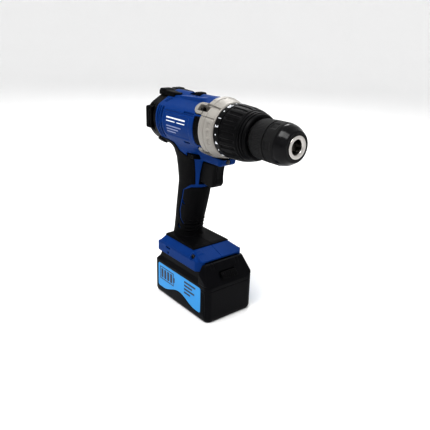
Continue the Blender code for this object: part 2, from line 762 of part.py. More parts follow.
def make_motor(parts):
    rear, front = CAN_X
    inner = CAN_RADIUS - CAN_WALL
    can = turned("motor_can", [
        (3.5, front), (CAN_RADIUS - 1.0, front), (CAN_RADIUS, front - 1.0), (CAN_RADIUS, rear),
        (inner, rear), (inner, front - CAN_WALL - 1.0), (3.5, front - CAN_WALL - 1.0)],
        parts, HIDDEN_STEPS)
    finish_part(can, STEEL, 0.45, 0.9)
    cap = turned("motor_end_cap", [
        (17.4, rear - GAP), (17.4, rear - 4.0), (8.0, rear - 7.5), (2.0, rear - 7.5),
        (2.0, rear - GAP)], parts, HIDDEN_STEPS)
    finish_part(cap, BLACK, 0.6)
    core = turned("armature_core", [
        (14.0, -18.0), (15.6, -19.0), (15.6, -45.0), (14.0, -46.0), (SHAFT_RADIUS + GAP, -46.0),
        (SHAFT_RADIUS + GAP, -18.0)], parts, HIDDEN_STEPS)
    finish_part(core, COPPER, 0.5, 0.7)
    shaft = turned("motor_shaft", [
        (0.0, 5.0), (SHAFT_RADIUS, 5.0), (SHAFT_RADIUS, -75.0), (0.0, -75.0)],
        parts, SMALL_STEPS)
    finish_part(shaft, STEEL, 0.3, 1.0)
    commutator = turned("commutator", [
        (COMMUTATOR_RADIUS, COMMUTATOR_X[1]), (COMMUTATOR_RADIUS, COMMUTATOR_X[0]),
        (SHAFT_RADIUS + GAP, COMMUTATOR_X[0]), (SHAFT_RADIUS + GAP, COMMUTATOR_X[1])],
        parts, HIDDEN_STEPS)
    finish_part(commutator, COPPER, 0.3, 1.0)
    make_fan(parts)
    for name, side in (("brush_left", 1), ("brush_right", -1)):
        near = side * (COMMUTATOR_RADIUS + GAP)
        far = side * 13.5
        brush = box(name, (BRUSH_X[0], min(near, far), AXIS_Z - 2.2),
                    (BRUSH_X[1], max(near, far), AXIS_Z + 2.2), parts)
        finish_part(brush, BLACK, 0.7)


def make_fan(parts):
    """A flat fan wheel with straight vanes, cut from one outline."""
    vanes = 9
    outline = []
    for i in range(vanes):
        centre = 2 * math.pi * i / vanes
        for offset, radius in ((-0.22, 7.0), (-0.12, 15.4), (0.12, 15.4), (0.22, 7.0)):
            outline.append((radius * math.cos(centre + offset),
                            radius * math.sin(centre + offset)))
    fan = gear_ring("cooling_fan", outline, circle_outline(SHAFT_RADIUS + GAP, SMALL_STEPS),
                    (-55.5, -50.5), (0.0, AXIS_Z), parts)
    set_origin(fan, (-53.0, 0.0, AXIS_Z))
    finish_part(fan, BLACK, 0.6)


# ---------------------------------------------------------------- chuck

def jaw_reach(x):
    """Outer radius of the path that a jaw's back follows at a distance along the axis."""
    return JAW_INNER_RADIUS + JAW_THICKNESS - math.tan(JAW_TILT) * (x - JAW_FRONT_X)


def make_chuck(parts, cutters):
    body = turned("chuck_body", [
        (BIT_BORE_RADIUS + 0.8, NOSE_X), (NOSE_RADIUS - 0.8, NOSE_X), (NOSE_RADIUS, NOSE_X - 0.8),
        (NOSE_RADIUS, 141.0), (16.5, 136.0), (CHUCK_BODY_RADIUS - 0.5, 118.0),
        (CHUCK_BODY_RADIUS - 0.5, 99.0), (16.0, CHUCK_REAR_X + 0.8),
        (SPINDLE_RADIUS + GAP, CHUCK_REAR_X + 0.8), (SPINDLE_RADIUS + GAP, 108.0),
        (BIT_BORE_RADIUS, 108.0), (BIT_BORE_RADIUS, NOSE_X - 0.8)], parts)
    slots = []
    rear = JAW_FRONT_X - JAW_LENGTH - 0.4
    for number in range(3):
        slots.append(jaw_prism(f"jaw_slot_{number + 1}", number, (rear, 142.0), 0.0, 0.35,
                               JAW_HALF_WIDTH + 0.35, cutters))
    combine(body, slots)
    finish_part(body, STEEL, 0.25, 1.0)
    rear_sleeve = turned("chuck_rear_sleeve", [
        (CHUCK_RADIUS - 0.2, CHUCK_SPLIT_X - 0.3), (CHUCK_RADIUS, CHUCK_SPLIT_X - 1.5),
        (CHUCK_RADIUS - 0.8, 101.0), (20.4, CHUCK_REAR_X), (18.4, CHUCK_REAR_X),
        (18.4, CHUCK_SPLIT_X - 0.3)], parts)
    finish_part(rear_sleeve, BLACK, 0.55)
    front_sleeve = turned("chuck_front_sleeve", [
        (16.4, 147.2), (17.4, 146.6), (20.2, 140.5), (21.8, 136.0), (CHUCK_RADIUS, 132.0),
        (CHUCK_RADIUS, CHUCK_SPLIT_X + 1.0), (CHUCK_RADIUS - 0.8, CHUCK_SPLIT_X + 0.1),
        (18.4, CHUCK_SPLIT_X + 0.1), (18.4, 133.0), (17.0, 137.0), (NOSE_RADIUS + 0.4, 142.0),
        (NOSE_RADIUS + 0.4, 147.2)], parts)
    finish_part(front_sleeve, BLACK, 0.3)
    for number in range(3):
        jaw = jaw_prism(f"jaw_{number + 1}", number, (JAW_FRONT_X - JAW_LENGTH, JAW_FRONT_X),
                        JAW_INNER_RADIUS, 0.0, JAW_HALF_WIDTH, parts)
        set_origin(jaw, (JAW_FRONT_X, *on_circle(JAW_INNER_RADIUS, 90.0 + 120.0 * number)))
        finish_part(jaw, STEEL, 0.35, 1.0)
    screw = turned("chuck_screw", [
        (0.0, 107.2), (5.2, 107.2), (5.2, 105.4), (0.0, 105.4)], parts, SMALL_STEPS)
    finish_part(screw, STEEL, 0.4, 1.0)


def jaw_prism(name, number, x_range, inner, extra, half_width, collection):
    """A wedge-nosed bar whose back leans towards the axis as it goes forward."""
    degrees = math.radians(90.0 + 120.0 * number)
    out = Vector((0.0, math.cos(degrees), math.sin(degrees)))
    across = Vector((0.0, -math.sin(degrees), math.cos(degrees)))
    rings = []
    for x in x_range:
        outer = jaw_reach(x) + extra
        wedge = inner + half_width * 0.7
        ring = []
        for radius, side in ((inner, -0.5), (wedge, -half_width), (outer, -half_width),
                             (outer, half_width), (wedge, half_width), (inner, 0.5)):
            point = Vector((x, 0.0, AXIS_Z)) + out * radius + across * side
            ring.append(point)
        rings.append(ring)
    return loft(name, rings, collection)


# ---------------------------------------------------------------- controls and wiring

def make_controls(parts, cutters):
    outline = [
        (0.0, TRIGGER_Z[1]), (0.0, 166.5), (9.0, 165.0), (19.0, TRIGGER_Z[0]), (25.0, 165.5),
        (27.4, 170.0), (26.6, 176.0), (27.0, 183.0), (29.0, 190.0), (30.5, TRIGGER_Z[1])]
    trigger = plate("trigger", outline, "Y", -TRIGGER_HALF_WIDTH, TRIGGER_HALF_WIDTH, parts)
    finish_part(trigger, BLACK, 0.45)
    switch = box("switch_module", SWITCH_LOW, SWITCH_HIGH, parts)
    finish_part(switch, BLACK, 0.6)
    lever = box("direction_lever", LEVER_LOW, LEVER_HIGH, parts)
    finish_part(lever, BLACK, 0.5)
    selector = box("speed_selector",
                   (SELECTOR_X[0], -SELECTOR_HALF_WIDTH, AXIS_Z + BARREL_HALF_HEIGHT + 0.4),
                   (SELECTOR_X[1], SELECTOR_HALF_WIDTH, AXIS_Z + 35.8), parts)
    stem = box("selector_stem", (STEM_X[0], -STEM_HALF_WIDTH, AXIS_Z + 29.2),
               (STEM_X[1], STEM_HALF_WIDTH, AXIS_Z + 33.0), cutters)
    combine(selector, [stem], "UNION")
    finish_part(selector, BLACK, 0.5)
    light = turned("work_light", [
        (0.0, SNOUT_X[1] + 0.8), (1.8, SNOUT_X[1] + 0.5), (3.0, SNOUT_X[1] - 0.4),
        (3.0, SNOUT_X[1] - 1.7), (0.0, SNOUT_X[1] - 1.7)], parts, SMALL_STEPS,
        (0.0, 0.0, LIGHT_Z))
    finish_part(light, (0.8, 0.8, 0.75), 0.1)


def make_wiring(parts, cutters):
    block = box("terminal_block", (-46.0, -16.0, 66.8), (-30.0, 16.0, 79.0), parts)
    blades = [box(f"blade_{number}", (-31.0, y - 0.6, 67.4), (-14.0, y + 0.6, 69.8), cutters)
              for number, y in enumerate((-11.0, 0.0, 11.0), 1)]
    combine(block, blades, "UNION")
    finish_part(block, BLACK, 0.6)
    for name, side, colour in (("supply_lead_red", -1, (0.5, 0.02, 0.02)),
                               ("supply_lead_black", 1, BLACK)):
        route = smooth_route([
            (-38.0, side * 7.0, 79.5), (-40.5, side * 6.8, 86.0), (-42.5, side * 6.0, 94.0),
            (-42.0, side * 5.6, 104.0), (-38.5, side * 5.2, 118.0), (-35.0, side * 5.0, 134.0),
            (-30.0, side * 5.0, 145.0), (-26.0, side * 5.0, 151.5)], 2)
        finish_part(tube(name, route, 1.1, parts), colour, 0.5)
    for name, side, colour in (("motor_lead_red", -1, (0.5, 0.02, 0.02)),
                               ("motor_lead_black", 1, BLACK)):
        route = smooth_route([
            (-30.0, side * 4.5, 191.5), (-31.5, side * 5.0, 198.0), (-38.0, side * 6.0, 206.5),
            (-48.0, side * 7.0, 212.5), (-58.0, side * 7.6, 215.0), (-66.0, side * 8.0, 216.5),
            (-69.0, side * 8.0, 220.5), (-69.3, side * 8.0, 222.3)], 2)
        finish_part(tube(name, route, 1.1, parts), colour, 0.5)


def make_housing_screws(parts):
    for number, (x, z, head_y) in enumerate(HOUSING_SCREWS, 1):
        screw = turned(f"housing_screw_{number}", screw_profile(16.0), parts, SCREW_STEPS,
                       (x, head_y + SCREW_SINK, z), "Y")
        finish_part(screw, BLACK, 0.4, 0.8)


# ---------------------------------------------------------------- battery pack

def pack_section(z, inset, corner=PACK_CORNER):
    return chamfered_rectangle(z, -PACK_HALF_LENGTH + inset, PACK_HALF_LENGTH - inset,
                               PACK_HALF_WIDTH - inset, corner)


def make_battery(parts, cutters):
    tub = loft("battery_tub", [
        pack_section(0.0, 3.0), pack_section(3.5, 0.0), pack_section(PACK_SPLIT_Z, 0.0)], parts)
    room = loft("tub_room", [
        pack_section(PACK_WALL, 3.0 + PACK_WALL), pack_section(4.5, PACK_WALL),
        pack_section(60.0, PACK_WALL)], cutters)
    combine(tub, [room])
    finish_part(tub, BLACK, 0.5)
    make_battery_cover(parts, cutters)
    make_cells(parts, cutters)


def make_battery_cover(parts, cutters):
    low = PACK_SPLIT_Z + GAP
    rear = -PACK_HALF_LENGTH
    cover = loft("battery_cover", [
        pack_section(low, 0.0), pack_section(PACK_SIDE_Z, 0.0),
        chamfered_rectangle(54.0, rear + 4.0, PACK_HALF_LENGTH - 5.0, 33.8, 7.0),
        chamfered_rectangle(PACK_TOP_Z, rear + 7.0, 45.0, 32.8, 6.0)], parts)
    room = loft("cover_room", [
        pack_section(30.0, PACK_WALL), pack_section(PACK_SIDE_Z - 0.8, PACK_WALL),
        chamfered_rectangle(52.5, rear + 7.5, PACK_HALF_LENGTH - 16.0, 31.0, 6.0)], cutters)
    hump = plate("cover_hump", [
        (HUMP_REAR_X, 56.0), (48.0, 54.0), (54.0, 54.5), (PACK_HALF_LENGTH - 1.6, 56.0),
        (42.0, HUMP_TOP_Z), (HUMP_REAR_X, HUMP_TOP_Z)], "Y", -HUMP_HALF_WIDTH,
        HUMP_HALF_WIDTH, cutters)
    tongue = box("cover_tongue", (TONGUE_X[0], -20.4, 60.0), (HUMP_REAR_X + 2.0, 20.4, TONGUE_TOP_Z),
                 cutters)
    rails = box("cover_rails", (TONGUE_X[0], -25.0, 66.2), (FOOT_NOTCH_X - 3.0, 25.0, 69.5),
                cutters)
    slots = [box(f"blade_slot_{number}", (TONGUE_X[0] - 1.0, y - 1.4, 66.6),
                 (-8.0, y + 1.4, TONGUE_TOP_Z + 1.0), cutters)
             for number, y in enumerate((-11.0, 0.0, 11.0), 1)]
    pocket = box("button_room", (46.0, -12.6, 54.6), (70.0, 12.6, 63.2), cutters)
    combine(cover, [hump, tongue, rails], "UNION")
    combine(cover, [room] + slots + [pocket])
    finish_part(cover, BLACK, 0.5)
    button = plate("battery_button", [
        (50.6, 55.0), (56.4, 55.0), (55.2, 58.2), (51.6, 62.8), (50.6, 62.8)], "Y",
        -12.2, 12.2, parts)
    finish_part(button, BLACK, 0.4)


def make_cells(parts, cutters):
    """Ten cells across the pack, held by two end frames."""
    half = CELL_LENGTH / 2
    block = box("cell_block", (-48.0, half - 3.0, 4.6), (48.0, half + 0.6, 42.0), parts)
    other = box("cell_frame", (-48.0, -half - 0.6, 4.6), (48.0, 3.0 - half, 42.0), cutters)
    cells = []
    for row in range(2):
        for column in range(5):
            x = (column - 2) * CELL_PITCH
            z = 4.8 + CELL_RADIUS + row * (CELL_PITCH - 0.3)
            cells.append(rod(f"cell_{row + 1}_{column + 1}", "Y", CELL_RADIUS, (x, 0.0, z),
                             CELL_LENGTH, cutters, 12))
    combine(block, [other] + cells, "UNION")
    finish_part(block, (0.1, 0.35, 0.15), 0.5)


def build():
    clear_scene()
    parts = make_collection("cordless_drill")
    cutters = make_collection("cutters")
    make_housing(parts, cutters)
    make_gear_case(parts, cutters)
    make_clutch(parts)
    make_gearbox(parts, cutters)
    make_motor(parts)
    make_chuck(parts, cutters)
    make_controls(parts, cutters)
    make_wiring(parts, cutters)
    make_housing_screws(parts)
    make_battery(parts, cutters)


build()
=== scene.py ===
"""Looks of the cordless drill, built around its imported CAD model.

Lengths here are millimetres in the CAD frame: +X out of the chuck, +Y left, +Z up.
Meshes are written in metres. Moulded shells are drawn as distance fields, and turned parts
as lathe skins. Places and sizes are read from CAD nodes' boxes or named below.
"""

import math

import bmesh
import bpy
import numpy as np
from mathutils import Matrix, Vector


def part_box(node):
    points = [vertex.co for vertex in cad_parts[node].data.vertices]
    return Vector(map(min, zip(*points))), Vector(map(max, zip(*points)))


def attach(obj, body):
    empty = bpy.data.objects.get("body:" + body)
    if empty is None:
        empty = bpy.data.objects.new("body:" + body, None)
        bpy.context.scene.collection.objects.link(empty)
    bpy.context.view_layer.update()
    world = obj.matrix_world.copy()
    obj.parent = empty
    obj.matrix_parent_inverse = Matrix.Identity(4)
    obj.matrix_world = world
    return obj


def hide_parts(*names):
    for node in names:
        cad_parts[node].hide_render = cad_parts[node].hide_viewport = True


MM = 0.001

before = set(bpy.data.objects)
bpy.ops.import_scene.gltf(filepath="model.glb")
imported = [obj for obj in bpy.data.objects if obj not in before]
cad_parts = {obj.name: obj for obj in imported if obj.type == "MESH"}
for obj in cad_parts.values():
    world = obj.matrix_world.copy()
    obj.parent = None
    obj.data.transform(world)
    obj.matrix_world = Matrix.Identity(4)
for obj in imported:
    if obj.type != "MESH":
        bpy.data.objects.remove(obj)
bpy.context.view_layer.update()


def span(node):
    """Lowest and highest corners of a CAD node, in millimetres."""
    low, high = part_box(node)
    return np.array(low) / MM, np.array(high) / MM


# Driving sizes, read from the frame
SHAFT_LOW, SHAFT_HIGH = span("motor_shaft")
AXIS_Z = float(SHAFT_LOW[2] + SHAFT_HIGH[2]) / 2
CAP_LOW, CAP_HIGH = span("rear_cap")
CASE_HIGH = span("gear_case")[1]
CASE_RADIUS = float(CASE_HIGH[1])
COLLAR_LOW, COLLAR_HIGH = span("clutch_collar")
RETAINER_LOW, RETAINER_HIGH = span("collar_retainer")
REAR_SLEEVE_LOW, REAR_SLEEVE_HIGH = span("chuck_rear_sleeve")
FRONT_SLEEVE_LOW, FRONT_SLEEVE_HIGH = span("chuck_front_sleeve")
BODY_LOW, BODY_HIGH = span("chuck_body")
SELECTOR_LOW, SELECTOR_HIGH = span("speed_selector")
TRIGGER_LOW, TRIGGER_HIGH = span("trigger")
LEVER_LOW, LEVER_HIGH = span("direction_lever")
TUB_HIGH = span("battery_tub")[1]
COVER_HIGH = span("battery_cover")[1]
BUTTON_HIGH = span("battery_button")[1]
LIGHT_LOW, LIGHT_HIGH = span("work_light")
BUMPER_LOW, BUMPER_HIGH = span("top_bumper")

HALF_GAP = 0.15
STEP = 0.55
FINE_STEP = 0.3
AROUND = 600

# Housing
BARREL_RADIUS = 34.6
BARREL_REAR_X = float(CAP_HIGH[0]) + 0.3
BARREL_FRONT_X = 28.7
SHOULDER_ANGLE = math.radians(59)
SHOULDER_REACH = 30.6
RIDGE_HALF_WIDTH = 14.5
WALL = 1.8
FOOT_REAR, FOOT_FRONT = -52.0, 38.0
FOOT_BOTTOM, FOOT_SHOULDER, FOOT_TOP = 63.0, 77.0, 86.0
FOOT_HALF = 37.0
FOOT_CHAMFER = 7.0
SIDE_LUGS = ((44.0, 20.0), (-51.0, 25.0))
LUG_CIRCLE = 30.6
LUG_LOBE = 8.6
VENTS = ((-55.5, 0.8, 30.0), (-51.8, 0.8, 30.0), (-46.8, 1.5, 33.2))
GRILLE_X = (18.0, 28.4)
GRILLE_ANGLES = (-33.5, 25.5)
PANEL_X = (-41.0, 9.0)
PANEL_ANGLES = (-27.0, 17.0)
# Height, centre, half depth and half width of the handle's sections, as in the CAD model
HANDLE = np.array([
    (80.0, -33.5, 18.2, 19.0), (92.0, -34.2, 18.6, 15.4), (105.0, -32.2, 18.9, 15.0),
    (124.0, -28.3, 20.4, 15.4), (143.0, -24.2, 21.6, 15.7), (161.0, -20.8, 22.2, 16.0),
    (178.0, -20.0, 24.0, 17.5), (192.0, -19.0, 27.0, 19.0), (206.0, -19.0, 33.0, 22.0),
    (216.0, -19.0, 36.0, 23.0)])
RUBBER_PROUD = 1.0
# Where the blue shell shows between the rubber, as heights with their X, or X with its height
STRIPE_Z = (104, 110, 121, 136, 152)
STRIPE_X = (-25, -30.5, -32, -27.5, -23.5)
WAVE_X = (-26, -18, -9, 0, 8)
WAVE_Z = (150.5, 155, 160, 161.5, 159)
NECK_X = (-60, -35, -25, -6, 0)
NECK_Z = (215, 212, 203, 198, 196)
SELECTOR_TRAVEL = 9.0
SELECTOR_FLOOR = AXIS_Z + 30.3
STEM_X = (-15.0, -9.5)
STEM_HALF = 3.4


def screw_place(node):
    """X and Z of a housing screw, and the Y of its head's face on the right side."""
    low, high = span(node)
    return float(low[0] + high[0]) / 2, float(low[2] + high[2]) / 2, float(low[1])


SCREW_PLACES = [screw_place(f"housing_screw_{i}") for i in range(1, 5)]

# Clutch dial
DIAL_PLACES = 21
NUMERAL_SIZE = 6.8

# Battery pack
PACK_CORNERS = (8.0, 3.0)
LABEL_SINK = 0.45
LABEL_X = (-51.5, 43.5)
LABEL_Z = (10.0, 45.0)
LABEL_CORNER = 3.0
LABEL_ARCH_MIDDLE = -3.0
LABEL_ARCH_HALF = 36.0
LABEL_ARCH_RISE = 10.0

# Camera: angles in degrees, lens as on a 36 mm wide sensor
CAMERA_AZIMUTH = 50.64
CAMERA_ELEVATION = 20.62
CAMERA_ROLL = 1.80
CAMERA_DISTANCE = 638.11
CAMERA_TARGET = (21.77, 0.0, 127.48)
CAMERA_LENS = 42.70


# ---- distance fields

def grid(low, high, step):
    """Open coordinate grids over a box."""
    axes = [np.arange(a, b + step, step, dtype=np.float32) for a, b in zip(low, high)]
    return np.meshgrid(*axes, indexing="ij", sparse=True)


def both(a, b, round_by=0.0):
    """What two fields share, with a rounded edge."""
    if round_by == 0.0:
        return np.maximum(a, b)
    h = np.clip(0.5 + 0.5 * (a - b) / round_by, 0, 1)
    return b + (a - b) * h + round_by * h * (1 - h)


def either(a, b, round_by=0.0):
    """Two fields joined, with a filleted corner."""
    return -both(-a, -b, round_by)


def without(a, b, round_by=0.0):
    """The first field with the second cut away."""
    return both(a, -b, round_by)


def block(p, low, high, corner=0.0):
    """A box, with rounded edges if a corner radius is given."""
    q = [np.abs(v - (a + b) / 2) - ((b - a) / 2 - corner) for v, a, b in zip(p, low, high)]
    outside = np.sqrt(sum(np.maximum(v, 0) ** 2 for v in q))
    return outside + np.minimum(np.maximum(np.maximum(q[0], q[1]), q[2]), 0) - corner


def rounded(u, v, corner):
    """Two walls' distances, meeting in a corner of the given radius."""
    u, v = u + corner, v + corner
    return np.hypot(np.maximum(u, 0), np.maximum(v, 0)) + np.minimum(np.maximum(u, v), 0) - corner


def within(values, low, high):
    """Negative where the values lie between two limits."""
    return np.maximum(low - values, values - high)


def rod_x(p, radius, y, z, x_range):
    """A round rod along X."""
    return np.maximum(np.hypot(p[1] - y, p[2] - z) - radius, within(p[0], *x_range))


def rod_y(p, radius, x, z, y_range):
    """A round rod along Y."""
    return np.maximum(np.hypot(p[0] - x, p[2] - z) - radius, within(p[1], *y_range))


def side_angle(p):
    """Degrees around the barrel from either side, 90 at the top."""
    return np.degrees(np.arctan2(p[2] - AXIS_Z, np.abs(p[1]) + 1e-6))


def arc_patch(p, x_range, angles, corner=1.0):
    """A rounded patch of the barrel's skin, measured along X and around the barrel."""
    reach = BARREL_RADIUS * math.pi / 180
    u = np.abs(p[0] - sum(x_range) / 2) - (x_range[1] - x_range[0]) / 2
    v = (np.abs(side_angle(p) - sum(angles) / 2) - (angles[1] - angles[0]) / 2) * reach
    return rounded(u, v, corner)


def outline_field(u, v, points):
    """Signed distance to a closed outline in a plane."""
    best = None
    inside = np.zeros(np.broadcast(u, v).shape, bool)
    for (ax, ay), (bx, by) in zip(points, points[1:] + points[:1]):
        ex, ey = bx - ax, by - ay
        t = np.clip(((u - ax) * ex + (v - ay) * ey) / (ex * ex + ey * ey), 0, 1)
        gap = (u - ax - t * ex) ** 2 + (v - ay - t * ey) ** 2
        best = gap if best is None else np.minimum(best, gap)
        if ay != by:
            crosses = ((ay > v) != (by > v)) & (u < ex * (v - ay) / ey + ax)
            inside = inside ^ crosses
    return np.where(inside, -np.sqrt(best), np.sqrt(best))


# ---- meshes

def surface_nets(field, low, step):
    """Vertices and quads of a field's zero surface, one vertex in each crossed cell."""
    field = np.pad(field, 1, constant_values=10.0)
    strides = np.array([field.shape[1] * field.shape[2], field.shape[2], 1])
    inside = field < 0
    cells, points, quads = [], [], []
    for a in range(3):
        b, c = (a + 1) % 3, (a + 2) % 3
        first = tuple(slice(None, -1) if i == a else slice(None) for i in range(3))
        second = tuple(slice(1, None) if i == a else slice(None) for i in range(3))
        crossed = np.argwhere(inside[first] != inside[second])
        ahead = crossed.copy()
        ahead[:, a] += 1
        start, end = field[tuple(crossed.T)], field[tuple(ahead.T)]
        place = crossed.astype(float)
        place[:, a] += start / (start - end)
        corners = []
        for db, dc in ((-1, -1), (0, -1), (0, 0), (-1, 0)):
            cell = crossed.copy()
            cell[:, b] += db
            cell[:, c] += dc
            corners.append(cell @ strides)
        quad = np.stack(corners, 1)
        flip = start > 0
        quad[flip] = quad[flip][:, ::-1]
        quads.append(quad)
        cells += corners
        points += [place] * 4
    names, index = np.unique(np.concatenate(cells), return_inverse=True)
    points = np.concatenate(points)
    count = np.bincount(index)
    verts = np.stack([np.bincount(index, points[:, i]) / count for i in range(3)], 1)
    faces = np.searchsorted(names, np.concatenate(quads))
    return (verts - 1) * step + np.array(low), faces


def new_object(name, data):
    obj = bpy.data.objects.new(name, data)
    bpy.context.scene.collection.objects.link(obj)
    return obj


def mesh_object(name, verts, faces, sharp=50):
    """A smooth object whose edges above the given angle stay sharp."""
    mesh = bpy.data.meshes.new(name)
    mesh.from_pydata((np.asarray(verts, float) * MM).tolist(), [], np.asarray(faces).tolist())
    mesh.update()
    mesh.shade_smooth()
    mesh.set_sharp_from_angle(angle=math.radians(sharp))
    return new_object(name, mesh)


def moulded(name, make_field, low, high, step=STEP):
    """A piece whose surface is the zero of make_field(p) within a box."""
    field = np.ascontiguousarray(make_field(grid(low, high, step)))
    return mesh_object(name, *surface_nets(field, low, step))


def mirrored(name, obj):
    """A copy on the other side of the tool."""
    mesh = obj.data.copy()
    mesh.transform(Matrix.Scale(-1, 4, (0, 1, 0)))
    mesh.flip_normals()
    return new_object(name, mesh)


def lathe(name, profile, relief=None, step=0.4, around=AROUND):
    """A ring turned from a closed (x, radius) profile; relief(x, r, angle) moves its radius."""
    rings = []
    for a, b in zip(profile, profile[1:] + profile[:1]):
        count = max(1, math.ceil(math.dist(a, b) / step))
        rings += [(a[0] + (b[0] - a[0]) * i / count, a[1] + (b[1] - a[1]) * i / count)
                  for i in range(count)]
    rings = np.array(rings)
    x, r = rings[:, :1], rings[:, 1:]
    angle = np.arange(around)[None, :] * 2 * math.pi / around
    radius = r + np.zeros_like(angle) if relief is None else r + relief(x, r, angle)
    verts = np.stack([x + 0 * radius, radius * np.cos(angle),
                      AXIS_Z + radius * np.sin(angle)], -1).reshape(-1, 3)
    i, j = np.meshgrid(np.arange(len(rings)), np.arange(around), indexing="ij")
    down, turn = (i + 1) % len(rings), (j + 1) % around
    faces = np.stack([i * around + j, i * around + turn, down * around + turn,
                      down * around + j], -1).reshape(-1, 4)
    return outward(mesh_object(name, verts, faces, 35))


def outward(obj):
    """Turn all of a closed piece's faces outward."""
    bm = bmesh.new()
    bm.from_mesh(obj.data)
    bmesh.ops.recalc_face_normals(bm, faces=bm.faces)
    bm.to_mesh(obj.data)
    bm.free()
    return obj


def slabs(name, boxes):
    """One mesh of several thin boxes, each (low, high)."""
    bm = bmesh.new()
    for low, high in boxes:
        low, high = Vector(low), Vector(high)
        matrix = Matrix.Translation((low + high) / 2) @ Matrix.Diagonal((*(high - low), 1.0))
        bmesh.ops.create_cube(bm, size=1.0, matrix=matrix)
    return from_bmesh(name, bm)


def from_bmesh(name, bm):
    """An object in metres from a bmesh in millimetres."""
    bmesh.ops.scale(bm, vec=(MM, MM, MM), verts=bm.verts)
    mesh = bpy.data.meshes.new(name)
    bm.to_mesh(mesh)
    bm.free()
    return new_object(name, mesh)


def curved_marks(name, marks, radius):
    """Thin marks that lie on the barrel's right side, each (x range, angle range)."""
    bm = bmesh.new()
    for (x0, x1), (low, high) in marks:
        count = max(1, math.ceil((high - low) / 2))
        rows = []
        for i in range(count + 1):
            turn = math.radians(low + (high - low) * i / count)
            rows.append([bm.verts.new((x, -r * math.cos(turn), AXIS_Z + r * math.sin(turn)))
                         for x in (x0, x1) for r in (radius, radius + 0.3)])
        for a, b in zip(rows, rows[1:]):
            for m, n in ((0, 1), (1, 3), (3, 2), (2, 0)):
                bm.faces.new((a[m], a[n], b[n], b[m]))
        for end in (rows[0], rows[-1]):
            bm.faces.new((end[0], end[1], end[3], end[2]))
    bmesh.ops.recalc_face_normals(bm, faces=bm.faces)
    return from_bmesh(name, bm)


# ---- materials

def paint(name, colour, roughness, metallic=0.0, grain=600.0, bump=0.05, wear=0.12,
          specular=0.5):
    """A procedural finish: speckled colour, uneven gloss and a fine moulded or cast grain."""
    material = bpy.data.materials.new(name)
    material.use_nodes = True
    nodes, links = material.node_tree.nodes, material.node_tree.links
    shader = nodes["Principled BSDF"]
    shader.inputs["Metallic"].default_value = metallic
    shader.inputs["Specular IOR Level"].default_value = specular
    place = nodes.new("ShaderNodeTexCoord").outputs["Object"]
    large, small = nodes.new("ShaderNodeTexNoise"), nodes.new("ShaderNodeTexNoise")
    large.inputs["Scale"].default_value = 45.0
    large.inputs["Detail"].default_value = 6.0
    small.inputs["Scale"].default_value = grain
    small.inputs["Detail"].default_value = 3.0
    for noise in (large, small):
        links.new(place, noise.inputs["Vector"])
    shades = nodes.new("ShaderNodeValToRGB")
    shades.color_ramp.elements[0].color = (*[c * (1 - wear) for c in colour], 1)
    shades.color_ramp.elements[1].color = (*[min(1, c * (1 + wear)) for c in colour], 1)
    links.new(large.outputs["Fac"], shades.inputs["Fac"])
    links.new(shades.outputs["Color"], shader.inputs["Base Color"])
    gloss = nodes.new("ShaderNodeMapRange")
    gloss.inputs["To Min"].default_value = max(0.03, roughness - 0.07)
    gloss.inputs["To Max"].default_value = min(1.0, roughness + 0.07)
    links.new(large.outputs["Fac"], gloss.inputs["Value"])
    links.new(gloss.outputs["Result"], shader.inputs["Roughness"])
    relief = nodes.new("ShaderNodeBump")
    relief.inputs["Strength"].default_value = bump
    relief.inputs["Distance"].default_value = 0.0004
    links.new(small.outputs["Fac"], relief.inputs["Height"])
    links.new(relief.outputs["Normal"], shader.inputs["Normal"])
    return material


def make_materials():
    return {
        "blue": paint("blue_shell", (0.0005, 0.036, 0.17), 0.38, bump=0.25, wear=0.06, specular=0.08),
        "black": paint("black_shell", (0.0018, 0.0018, 0.0024), 0.42, bump=0.25, specular=0.09),
        "pack": paint("pack_shell", (0.0014, 0.0014, 0.0026), 0.4, bump=0.3, specular=0.09),
        "rubber": paint("grip_rubber", (0.0014, 0.0014, 0.002), 0.6, grain=900, bump=0.5, specular=0.07),
        "cast": paint("cast_case", (0.30, 0.285, 0.262), 0.42, 0.25, grain=420, bump=0.5, wear=0.04),
        "gloss": paint("gloss_sleeve", (0.002, 0.002, 0.003), 0.16, specular=0.22),
        "grey": paint("matte_sleeve", (0.012, 0.012, 0.0125), 0.6, bump=0.6, specular=0.12),
        "steel": paint("steel_parts", (0.55, 0.54, 0.53), 0.3, 1.0, bump=0.15),
        "nose": paint("nose_ring", (0.55, 0.53, 0.51), 0.22, 1.0, bump=0.08, wear=0.03),
        "screw": paint("black_screw", (0.03, 0.03, 0.03), 0.35, 0.9, bump=0.1),
        "copper": paint("copper_parts", (0.65, 0.3, 0.15), 0.35, 1.0),
        "carbon": paint("carbon_brush", (0.02, 0.02, 0.02), 0.8),
        "red": paint("red_lead", (0.5, 0.02, 0.02), 0.35),
        "lead": paint("black_lead", (0.012, 0.012, 0.012), 0.35),
        "cell": paint("cell_wrap", (0.08, 0.32, 0.14), 0.3),
        "lens": paint("lamp_lens", (0.02, 0.02, 0.025), 0.1, bump=0.02),
        "label": paint("label_sheet", (0.014, 0.28, 0.62), 0.35, wear=0.05),
        "ink": paint("label_ink", (0.002, 0.012, 0.04), 0.4),
        "white": paint("pale_print", (0.75, 0.77, 0.80), 0.4, wear=0.03),
        "violet": paint("grey_print", (0.20, 0.24, 0.40), 0.4),
    }


def dress(obj, look, body, *nodes):
    """Finish a piece: its material and slot, the body it rides on and the nodes it stands for."""
    obj.data.materials.clear()
    obj.data.materials.append(LOOKS[look])
    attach(obj, body)
    if nodes:
        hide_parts(*nodes)
    return obj


def skin(name, make_field, look, body, node, step=STEP, below=1):
    """Mould a piece in the place of one CAD node."""
    low, high = span(node)
    dress(moulded(f"{name}_skin", make_field, low - below, high + 1, step), look, body, node)


